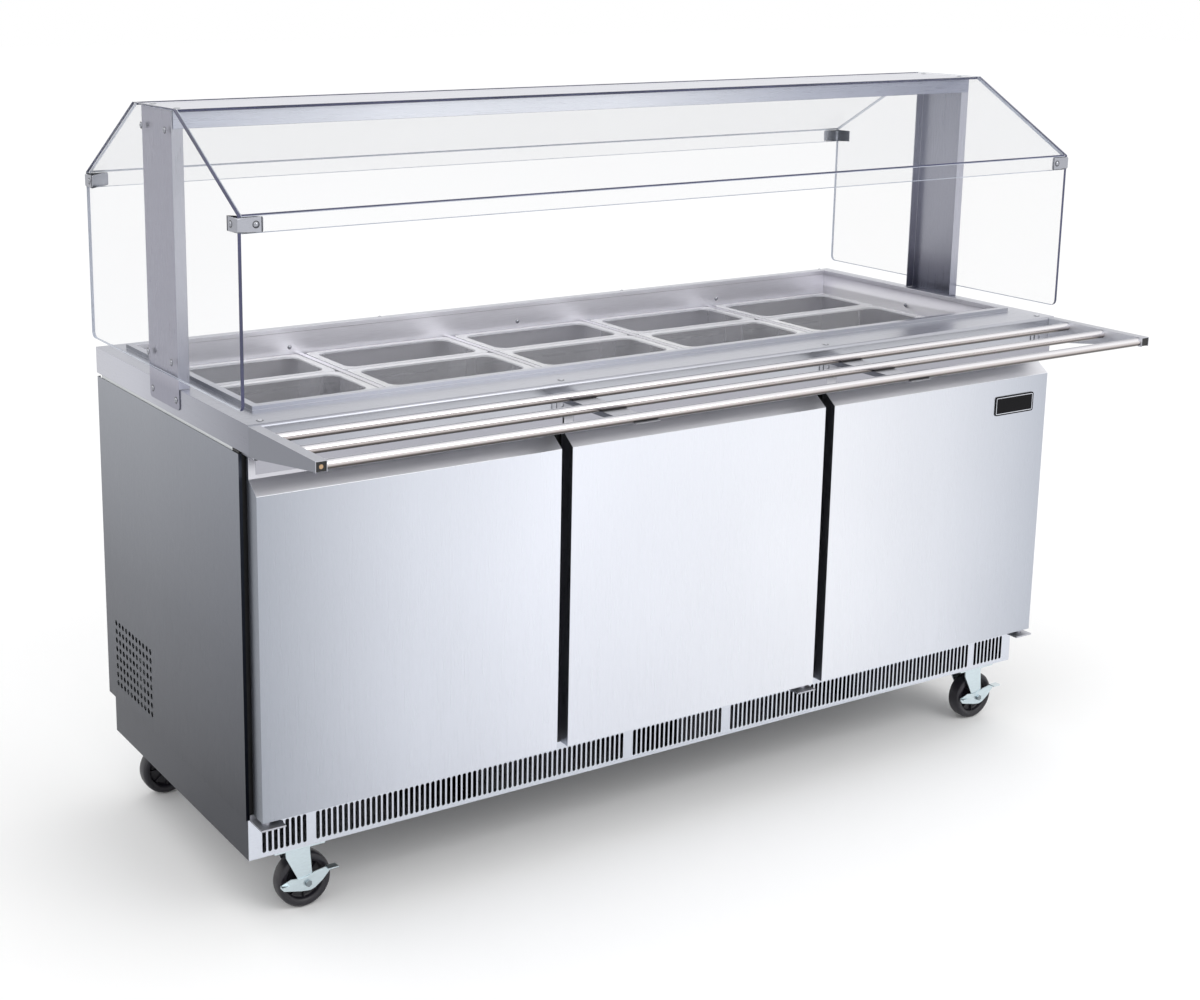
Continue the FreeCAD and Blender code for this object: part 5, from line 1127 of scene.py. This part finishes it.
@dataclass
class Doors:
    """Three folded doors with a darker finger recess, linings, seals and the badge.

    The recess lies behind the door's front by more than skin and less than recess_depth, and
    the fold's painted highlight is a strip narrower than fold_breadth within fold_reach of the
    face's top. The badge's bright line runs just inside its edge, from badge_edge to badge_line;
    the field inside it, the only front face broader than field_breadth, is sunk behind a step.
    """
    front: float = -347.5
    skin: float = 1.4
    face_top: float = 779.3
    recess_lift: float = 0.5
    recess_top: float = 839.5
    recess_depth: float = 30.0
    lip_bottom: float = 816.5
    fold_reach: float = 1.6
    fold_breadth: float = 2.0
    edge_round: float = 1.3
    hinge_round: float = 0.5
    liner_round: float = 1.0
    seal_round: float = 1.2
    badge_low: tuple[float, float, float] = (754.4, -349.3, 704.0)
    badge_high: tuple[float, float, float] = (864.4, -347.8, 744.0)
    badge_corner: float = 5.0
    badge_edge: float = 2.6
    badge_line: float = 4.0
    field_breadth: float = 20.0
    field_step: float = 0.2
    field_sink: float = 0.25

    def build(self) -> None:
        """Build the doors, their hinges and the badge."""
        for name in ("left", "centre", "right"):
            self.door(name)
        hinges = Workpiece.of_node("hinge_brackets").rounded(self.hinge_round)
        hinges.paint(Finish.BRACKET).finish_node("hinge_brackets")
        self.badge()

    def door(self, name: str) -> None:
        """Build one door with its lining and its seal.

        Args:
            name: Which door: left, centre or right.
        """
        node = f"door_{name}"
        door = Workpiece.of_node(node).rounded(self.edge_round, 3).paint(Finish.DOOR)
        # Painted light in the recess, painted shade on the lip above it and a painted highlight on
        # the fold.
        door.paint(Finish.RECESS, self.in_recess)
        door.paint(Finish.DOOR_LIP, self.on_recess_lip)
        door.paint(Finish.DOOR_FOLD, self.on_fold_highlight)
        door.finish_node(node)
        liner = Workpiece.of_node(f"{node}_liner").rounded(self.liner_round)
        liner.paint(Finish.DOOR_LINING).finish_node(f"{node}_liner")
        seal = Workpiece.of_node(f"{node}_seal").rounded(self.seal_round)
        seal.paint(Finish.SEAL).finish_node(f"{node}_seal")

    def in_recess(self, face: Facet) -> bool:
        """Whether a door's face is inside the finger recess.

        Args:
            face: Face of a door.

        Returns:
            True for the recess's faces that don't face sideways.
        """
        return (self.front + self.skin < face.centre.y < self.front + self.recess_depth
                and self.face_top + self.recess_lift < face.centre.z < self.recess_top
                and abs(face.normal.x) < MOSTLY)

    def on_recess_lip(self, face: Facet) -> bool:
        """Whether a door's face is the front of the lip above the finger recess."""
        return (face.centre.z > self.lip_bottom and face.centre.y < self.front + self.skin
                and abs(face.normal.x) < MOSTLY)

    def on_fold_highlight(self, face: Facet) -> bool:
        """Whether a door's face is the rounded fold at the top of its front, which gets a painted
        highlight.

        Args:
            face: Face of a door.

        Returns:
            True for the fold's narrow strips.
        """
        return (abs(face.centre.z - self.face_top) < self.fold_reach
                and face.centre.y < self.front + self.fold_reach
                and face.breadth < self.fold_breadth and abs(face.normal.x) < MOSTLY)

    def badge(self) -> None:
        """Blank black plate with round corners and a thin bright line inside its edge."""
        badge = Workpiece.block("badge_plate_skin", self.badge_low, self.badge_high)
        badge.bevel(lambda a, b: abs(a.y - b.y) > APART, self.badge_corner, 6)
        badge.inset(lambda f: f.normal.y < -SQUARE_ON, self.badge_edge)
        badge.inset(self.on_field, self.badge_line - self.badge_edge)
        badge.inset(self.on_field, self.field_step, self.field_sink)
        badge.paint(Finish.BADGE)
        badge.paint(Finish.BADGE_EDGE, lambda f: f.normal.y < -SQUARE_ON
                    and self.badge_edge < self.from_edge(f.centre) < self.badge_line + SAME)
        badge.finish_node("badge_plate")

    def on_field(self, face: Facet) -> bool:
        """Whether a badge's face is the broad field in the middle of its front."""
        return face.normal.y < -SQUARE_ON and face.breadth > self.field_breadth

    def from_edge(self, spot: Vector) -> float:
        """Distance of a spot on the badge from the badge's nearest side."""
        return min(spot.x - self.badge_low[0], self.badge_high[0] - spot.x,
                   spot.z - self.badge_low[2], self.badge_high[2] - spot.z)


# ---------------------------------------------------------------- guard
@dataclass
class Guard:
    """Posts, top beam, house-shaped end glass and bent sloping glass.

    Inset is how far the sloping glass stops short of the end glass, grind the small bevel round
    every pane, and narrow the breadth under which a pane's face is one of its edges.
    """
    glass_inner: float = 917.1
    thick: float = 6.0
    foot: float = 918.8
    knee: float = 1231.4
    top: float = 1376.7
    half: float = 340.2
    flat: float = 92.0
    lip: float = 29.4
    inset: float = 0.6
    corner: float = 12.0
    grind: float = 0.7
    narrow: float = 7.5
    bend_round: float = 2.5
    bend_reach: float = 8.0
    bend_inside: float = 4.0
    bend_outside: float = 1.6
    edge_margin: float = 1.5
    sheet_round: float = 0.8
    cap_band: float = 3.0
    clip_thick: float = 2.5
    clip_corner: float = 3.0
    clip_round: float = 0.5

    def build(self) -> None:
        """Build the guard."""
        for node, finish in (("post_left", Finish.POST), ("post_right", Finish.FAR_POST),
                             ("top_beam", Finish.BEAM)):
            piece = Workpiece.of_node(node).rounded(self.sheet_round, 3).paint(finish)
            if finish is Finish.BEAM:
                piece.paint(Finish.CAP, lambda f: f.centre.z > self.top - self.cap_band)
            piece.finish_node(node)
        for side, node in ((-1, "end_glass_left"), (1, "end_glass_right")):
            self.end_glass(side, node)
        for side, node in ((-1, "front_glass"), (1, "rear_glass")):
            self.sloping_glass(side, node)
        clips = Workpiece.of_node("glass_clips")
        clips.bevel(lambda a, b: abs(a.z - b.z) < SAME and (a - b).length < self.clip_thick,
                    self.clip_corner, 3)
        clips.rounded(self.clip_round).paint(Finish.CLIP)
        clips.finish_node("glass_clips")

    def end_glass(self, side: int, node: str) -> None:
        """House-shaped sheet; its polished edges get deep blue painted shade where they are seen
        end-on, and painted light elsewhere.

        Args:
            side: -1 for the left end and 1 for the right.
            node: Name of the pane.
        """
        x = side * self.glass_inner
        corners = [(x, y, z) for y, z in ((-self.half, self.foot), (self.half, self.foot),
                                          (self.half, self.knee), (self.flat, self.top),
                                          (-self.flat, self.top), (-self.half, self.knee))]
        above_foot = self.foot + APART
        glass = Workpiece.outline(f"{node}_skin", corners)
        glass.extrude(lambda f: True, (side * self.thick, 0.0, 0.0))
        glass.bevel(lambda a, b: abs(a.x - b.x) > APART and a.z < above_foot, self.corner, 6)
        glass.rounded(self.grind, 1)
        glass.paint(Finish.GLASS)
        # Painted shade on the edges turned to the front and on the left pane's upper edges; painted
        # light on the others.
        glass.paint(Finish.GLASS_EDGE, lambda f: abs(f.normal.x) < SQUARE_ON
                    and (f.centre.z > above_foot or abs(f.normal.z) < MOSTLY)
                    and (f.normal.y < -ASLANT or side < 0 and f.normal.z > ASLANT))
        glass.paint(Finish.PALE_GLASS_EDGE, lambda f: abs(f.normal.x) < SQUARE_ON
                    and not (f.normal.y < -ASLANT or side < 0 and f.normal.z > ASLANT))
        glass.finish_node(node)

    def sloping_glass(self, side: int, node: str) -> None:
        """Bent sheet: a slope from the beam to the knee and an upright lip below it.

        Its thin edges get painted light, and painted shade at the beam and, in front, at the knee's
        outside; the knee's inside strip is painted as plain glass.

        Args:
            side: -1 for the front pane and 1 for the rear one.
            node: Name of the pane.
        """
        rise = (self.top - self.knee) / (self.half - self.flat)
        turn = math.atan(rise)
        inner = self.half - self.thick
        knee = self.knee + rise * self.thick - self.thick / math.cos(turn)
        profile = ((self.half, self.knee - self.lip), (self.half, self.knee),
                   (self.flat, self.top),
                   (self.flat - self.thick * math.sin(turn),
                    self.top - self.thick * math.cos(turn)),
                   (inner, knee), (inner, self.knee - self.lip))
        start = -self.glass_inner + self.inset
        outside = inner + self.edge_margin
        glass = Workpiece.outline(f"{node}_skin", [(start, side * y, z) for y, z in profile])
        glass.extrude(lambda f: True, (-2 * start, 0.0, 0.0))
        glass.bevel(lambda a, b: abs(a.x - b.x) > self.glass_inner and abs(a.z - b.z) < SAME
                    and abs(a.z - self.knee) < self.bend_reach, self.bend_round, 4)
        glass.rounded(self.grind, 1)
        glass.paint(Finish.GLASS)
        glass.paint(Finish.PALE_GLASS_EDGE if side < 0 else Finish.FAR_GLASS_EDGE,
                    lambda f: f.breadth < self.narrow)
        glass.paint(Finish.GLASS, lambda f: f.breadth < self.narrow
                    and abs(f.normal.x) < MOSTLY
                    and abs(f.centre.z - knee) < self.bend_inside
                    and abs(f.centre.y) < outside)
        glass.paint(Finish.GLASS_EDGE, lambda f: f.breadth < self.narrow
                    and abs(f.normal.x) < MOSTLY
                    and (f.centre.z > self.top - self.bend_reach or side < 0
                         and f.centre.z > self.knee - self.bend_outside
                         and abs(f.centre.y) > outside))
        glass.finish_node(node)


@dataclass
class Screws:
    """Dome screws with a ring of painted shade round each, where its head meets the sheet."""
    head: float = 4.6
    reach: float = 1.5
    height: float = 0.2
    lift: float = 0.02
    cap_top: float = 1375.0
    cap_inset: float = 14.0
    half_length: float = 914.5
    half_depth: float = 347.5
    counter_top: float = 898.0
    front_inset: float = 23.0
    end_inset: float = 30.0
    bracket_place: float = 306.0
    post_screw: float = 53.0
    post_web: float = 916.8
    post_low: float = 878.0
    glass_face: float = 923.1
    glass_screws: tuple[float, float] = (944.8, 1339.7)
    clip_height: float = 1216.0
    clip_front: float = 342.2
    clip_side: float = 925.1
    clip_inset: float = 22.0
    clip_sheet: float = 2.0

    def build(self) -> None:
        """Smooth the screws' heads and stand each seen one on a copy of one ring of painted shade.
        """
        Workpiece.of_node("dome_screws").paint(Finish.SCREW).finish_node("dome_screws")
        shade_ring = Workpiece.rod("screw_shade_ring", (0.0, 0.0, self.lift),
                               (0.0, 0.0, self.lift + self.height), self.head + self.reach,
                               sides=32)
        shade_ring.rounded(self.height / 3, 1)
        rings = [shade_ring.twin(f"screw_rings_{index}").stood(foot, out)
                 for index, (foot, out) in enumerate(self.places())]
        shade_ring.discard()
        rings[0].join(rings[1:]).paint(Finish.SCREW_SHADE)
        rings[0].finish("cabinet", "stainless_sheet")

    def places(self) -> list[tuple[Vector, Vector]]:
        """Foot and direction of every screw on the counter, the posts, the glass and clips.

        Returns:
            A pair of foot and direction for each screw.
        """
        up = Vector((0.0, 0.0, 1.0))
        front_row = self.half_depth - self.front_inset
        end_screw = self.half_length - self.end_inset
        spots = [(Vector((x, -front_row, self.counter_top)), up)
                 for x in (-end_screw, -self.bracket_place, self.bracket_place, end_screw)]
        clip_place = self.clip_front - self.clip_sheet - self.clip_inset
        for side in (-1, 1):
            out = Vector((side, 0.0, 0.0))
            for y in (-self.post_screw, self.post_screw):
                spots.append((Vector((side * self.post_web, y, self.post_low)), out))
                spots += [(Vector((side * self.glass_face, y, z)), out)
                          for z in self.glass_screws]
                spots.append((Vector((side * (self.half_length - self.cap_inset), y,
                                      self.cap_top)), up))
            for face in (-1, 1):
                spots.append((Vector((side * (self.half_length - self.clip_inset),
                                      face * self.clip_front, self.clip_height)),
                              Vector((0.0, face, 0.0))))
                spots.append((Vector((side * self.clip_side, face * clip_place,
                                      self.clip_height)), out))
        return spots


# ---------------------------------------------------------------- tray slide
@dataclass
class TraySlide:
    """Four brackets and three tubes, with a plug in the left tip and a cap in the right.

    A cap stands back from the tip by cap_back to cap_end and clears the bracket's sheet by
    clearance; the plug runs from plug_back to plug_end behind the tip.
    """
    tip: float = -582.3
    top: float = 896.3
    tip_height: float = 18.0
    bracket_width: float = 20.0
    inner_reach: float = 2.0
    bracket_round: float = 0.4
    sheet: float = 1.2
    half_length: float = 914.5
    clearance: float = 0.3
    cap_back: float = 0.8
    cap_end: float = 7.0
    cap_lift: float = 1.0
    cap_round: float = 0.8
    plug_radius: float = 3.6
    plug_back: float = 0.2
    plug_end: float = 4.0
    plug_round: float = 0.5

    def build(self) -> None:
        """Build the tray slide."""
        inner = self.half_length - self.bracket_width - self.inner_reach
        brackets = Workpiece.of_node("tray_brackets").rounded(self.bracket_round, 2)
        brackets.paint(Finish.BRACKET)
        brackets.paint(Finish.BRACKET_TOP, lambda f: f.normal.z > UPWARD
                       and abs(f.centre.x) < self.half_length / 2)
        # Painted light on the right bracket's inner flank.
        brackets.paint(Finish.BRACKET_INNER,
                       lambda f: f.normal.x < -MOSTLY and f.centre.x > inner)
        brackets.finish_node("tray_brackets")
        Workpiece.of_node("tray_tubes").paint(Finish.TUBE).finish_node("tray_tubes")
        for side, name in ((-1, "left"), (1, "right")):
            self.tip_cap(side, name)

    def tip_cap(self, side: int, name: str) -> None:
        """Black plastic cap in a bracket's open tip; the left one has a tan plug in it.

        Args:
            side: -1 for the left bracket and 1 for the right.
            name: The side's name.
        """
        outer = self.half_length - self.sheet - self.clearance
        inner = self.half_length - self.bracket_width + self.sheet + self.clearance
        low = [min(side * outer, side * inner), self.tip + self.cap_back,
               self.top - self.tip_height + self.cap_lift]
        high = [max(side * outer, side * inner), self.tip + self.cap_end,
                self.top - self.sheet - self.clearance]
        cap = Workpiece.block(f"bracket_tip_cap_{name}", low, high).rounded(self.cap_round)
        cap.paint(Finish.BLACK_TRIM)
        if side < 0:
            x, _, z = [(a + b) / 2 for a, b in zip(low, high)]
            plug = Workpiece.rod("bracket_tip_plug", (x, self.tip + self.plug_back, z),
                                 (x, self.tip + self.plug_end, z), self.plug_radius)
            plug.rounded(self.plug_round).paint(Finish.PLUG)
            plug.finish("cabinet", "black_trim")
        cap.finish("cabinet", "black_trim")


# ---------------------------------------------------------------- casters
@dataclass
class Casters:
    """Four swivel casters; the front two carry brake pedals.

    Web_end, rim_lip and shoulder shape the wheel's profile: web_end as steps past the rim's
    radius and past the web, rim_lip as steps past the rim's radius and inside the half width,
    and shoulder as steps inside the radius and inside the half width.
    """
    pivot_x: float = 811.0
    front: float = -262.0
    rear: float = 277.0
    trail: float = 18.0
    radius: float = 51.0
    half_width: float = 15.0
    hub: float = 14.0
    hub_end: float = 19.6
    hub_bevel: float = 1.0
    hub_draft: float = 0.8
    bore: float = 4.06
    web: float = 5.0
    rim: float = 34.0
    web_end: tuple[tuple[float, float], ...] = ((-2.0, 0.0), (0.0, 1.5))
    rim_lip: tuple[tuple[float, float], ...] = ((1.6, 4.0), (4.0, 2.0))
    shoulder: tuple[tuple[float, float], ...] = ((9.0, 0.0), (5.0, 0.3), (2.2, 2.0), (0.6, 5.0))
    tread_half: float = 4.0
    ribs: int = 8
    rib_half: float = 1.3
    rib_bite: float = 1.0
    rib_rise: float = 4.5
    rib_past_rim: float = 0.5
    rib_round: float = 0.6
    bolt_place: float = 23.0
    bolt_reach: float = 7.0
    edge_round: float = 0.5

    def build(self) -> None:
        """Build every caster."""
        plates = Workpiece.of_node("caster_plates").rounded(self.edge_round)
        plates.paint(Finish.ZINC).finish_node("caster_plates")
        wheel = self.wheel()
        for name, side, y, reach in (("front_left", -1, self.front, 1),
                                     ("front_right", 1, self.front, 1),
                                     ("rear_left", -1, self.rear, -1),
                                     ("rear_right", 1, self.rear, -1)):
            axle = Vector((side * self.pivot_x + reach * self.trail, y, self.radius))
            self.fork(f"caster_fork_{name}", axle)
            wheel.twin(f"caster_wheel_{name}_skin").moved(axle).finish_node(
                f"caster_wheel_{name}")
        wheel.discard()
        for name in ("front_left", "front_right"):
            pedal = Workpiece.of_node(f"brake_pedal_{name}").rounded(self.edge_round)
            pedal.paint(Finish.ZINC).finish_node(f"brake_pedal_{name}")

    def fork(self, node: str, axle: Vector) -> None:
        """Dress a zinc-plated fork with its axle bolt's brighter heads.

        Args:
            node: Name of the fork.
            axle: Middle of its wheel.
        """
        fork = Workpiece.of_node(node).rounded(self.edge_round).paint(Finish.ZINC)
        fork.paint(Finish.BOLT, lambda f: abs(f.centre.y - axle.y) > self.bolt_place
                   and math.hypot(f.centre.x - axle.x, f.centre.z - axle.z) < self.bolt_reach)
        fork.finish_node(node)

    def wheel(self) -> Workpiece:
        """Spin a wheel about its own middle: crowned tyre, rim, dished web, hub and ribs.

        Returns:
            The wheel, on the bench's middle.
        """
        side = [(self.bore, self.hub_end), (self.hub - self.hub_bevel, self.hub_end),
                (self.hub, self.hub_end - self.hub_bevel), (self.hub + self.hub_draft, self.web)]
        side += [(self.rim + past, self.web + rise) for past, rise in self.web_end]
        side += [(self.rim + past, self.half_width - inside) for past, inside in self.rim_lip]
        side += [(self.radius - down, self.half_width - inside)
                 for down, inside in self.shoulder]
        side.append((self.radius, self.tread_half))
        loop = side + [(r, -y) for r, y in reversed(side)]
        wheel = Workpiece.outline("wheel", [(r, y, 0.0) for r, y in loop], filled=False)
        wheel.spin((0.0, 1.0, 0.0))
        ribs = []
        for face in (-1, 1):
            low, high = sorted((face * (self.web - self.rib_bite),
                                face * (self.web + self.rib_rise)))
            rib = Workpiece.block("rib", (self.hub - self.rib_bite, low, -self.rib_half),
                                  (self.rim + self.rib_past_rim, high, self.rib_half))
            rib.rounded(self.rib_round)
            ribs += [rib.twin(f"rib_{index}").moved((0.0, 0.0, 0.0), 360.0 / self.ribs * index)
                     for index in range(self.ribs)]
            rib.discard()
        return wheel.join(ribs).paint(Finish.WHEEL)


# ---------------------------------------------------------------- studio
@dataclass(frozen=True)
class Lamp:
    """Square soft lamp: place and size in metres, power in watts."""
    name: str
    place: tuple[float, float, float]
    size: float
    power: float

    def hang(self, aim: Sequence[float]) -> None:
        """Hang the lamp.

        Args:
            aim: Spot that the lamp is turned to.
        """
        data = bpy.data.lights.new(self.name, "AREA")
        data.size = self.size
        data.energy = self.power
        lamp = bpy.data.objects.new(self.name, data)
        bpy.context.scene.collection.objects.link(lamp)
        lamp.location = self.place
        way = Vector(aim) - Vector(self.place)
        lamp.rotation_euler = way.to_track_quat("-Z", "Y").to_euler()


@dataclass
class Studio:
    """White floor, soft lamps and the camera at the photograph's place, in metres."""
    floor_size: float = 60.0
    floor_drop: float = 0.0005
    sky_light: float = 1.04
    lamps: tuple[Lamp, ...] = (Lamp("lamp_front", (1.4, -4.2, 3.6), 3.2, 60.0),
                               Lamp("lamp_left", (-4.6, -1.2, 3.4), 2.6, 20.0))
    lamp_aim: tuple[float, float, float] = (0.0, 0.1, 0.7)
    camera_place: tuple[float, float, float] = (-2.07113, -2.80583, 1.62186)
    camera_turn: tuple[float, float, float] = (0.538, 0.214, 0.004)
    focal_px: float = 1835.2
    shift: tuple[float, float] = (0.12, -0.12)
    image: tuple[int, int] = (1200, 1000)
    sensor: float = 36.0
    clip: tuple[float, float] = (0.05, 100.0)

    def build(self) -> None:
        """Make the floor, the world, the lamps and the camera."""
        self.floor()
        self.world()
        for lamp in self.lamps:
            lamp.hang(self.lamp_aim)
        self.camera()

    def floor(self) -> None:
        """A wide white floor just under the wheels."""
        bpy.ops.mesh.primitive_plane_add(size=self.floor_size,
                                         location=(0.0, 0.0, -self.floor_drop))
        plane = bpy.context.object
        plane.name = "floor"
        material, tree, shader = blank("white_floor")
        clouds = soft_noise(tree, add(tree, "TexCoord"), FLOOR_CLOUD_MM)
        tree.links.new(blend_colours(tree, clouds, "#fdfdfd", "#ffffff"),
                       shader.inputs["Base Color"])
        shader.inputs["Roughness"].default_value = 0.9
        shader.inputs["Specular IOR Level"].default_value = 0.0
        plane.data.materials.append(material)

    def world(self) -> None:
        """White to the camera, in mirrors and through glass, and a little more as a light."""
        world = bpy.data.worlds.new("studio_world")
        bpy.context.scene.world = world
        world.use_nodes = True
        tree = world.node_tree
        tree.nodes.clear()
        path = add(tree, "LightPath")
        seen = add(tree, "Math", {0: path.outputs["Is Camera Ray"],
                                  1: path.outputs["Is Glossy Ray"]}, operation="MAXIMUM")
        seen = add(tree, "Math", {0: seen.outputs[0],
                                  1: path.outputs["Is Transmission Ray"]}, operation="MAXIMUM")
        strength = remap(tree, seen.outputs[0], 0, 1, self.sky_light, 1.0)
        background = add(tree, "Background", {"Strength": strength},
                         {"Color": (1.0, 1.0, 1.0, 1.0)})
        add(tree, "OutputWorld", {"Surface": background.outputs["Background"]})

    def camera(self) -> None:
        """A view from the front left and from above, as the photograph's."""
        data = bpy.data.cameras.new("camera")
        data.sensor_width = self.sensor
        data.lens = self.focal_px / self.image[0] * data.sensor_width
        data.shift_x, data.shift_y = self.shift
        data.clip_start, data.clip_end = self.clip
        camera = bpy.data.objects.new("camera", data)
        bpy.context.scene.collection.objects.link(camera)
        yaw, pitch, roll = self.camera_turn
        turn = (Matrix.Rotation(-yaw, 4, "Z") @ Matrix.Rotation(math.pi / 2 - pitch, 4, "X")
                @ Matrix.Rotation(roll, 4, "Z"))
        camera.matrix_world = Matrix.Translation(self.camera_place) @ turn
        bpy.context.scene.camera = camera


def main() -> None:
    """Build the salad bar's looks and the studio round it."""
    logging.basicConfig(level=logging.INFO, format="%(name)s %(message)s")
    scene = bpy.context.scene
    scene.view_settings.view_transform = "Standard"
    Studio().build()
    for assembly in (Counter(), Cabinet(), Doors(), Guard(), Screws(), TraySlide(), Casters()):
        LOG.info("%s", type(assembly).__name__)
        assembly.build()


if __name__ == "__main__":
    main()
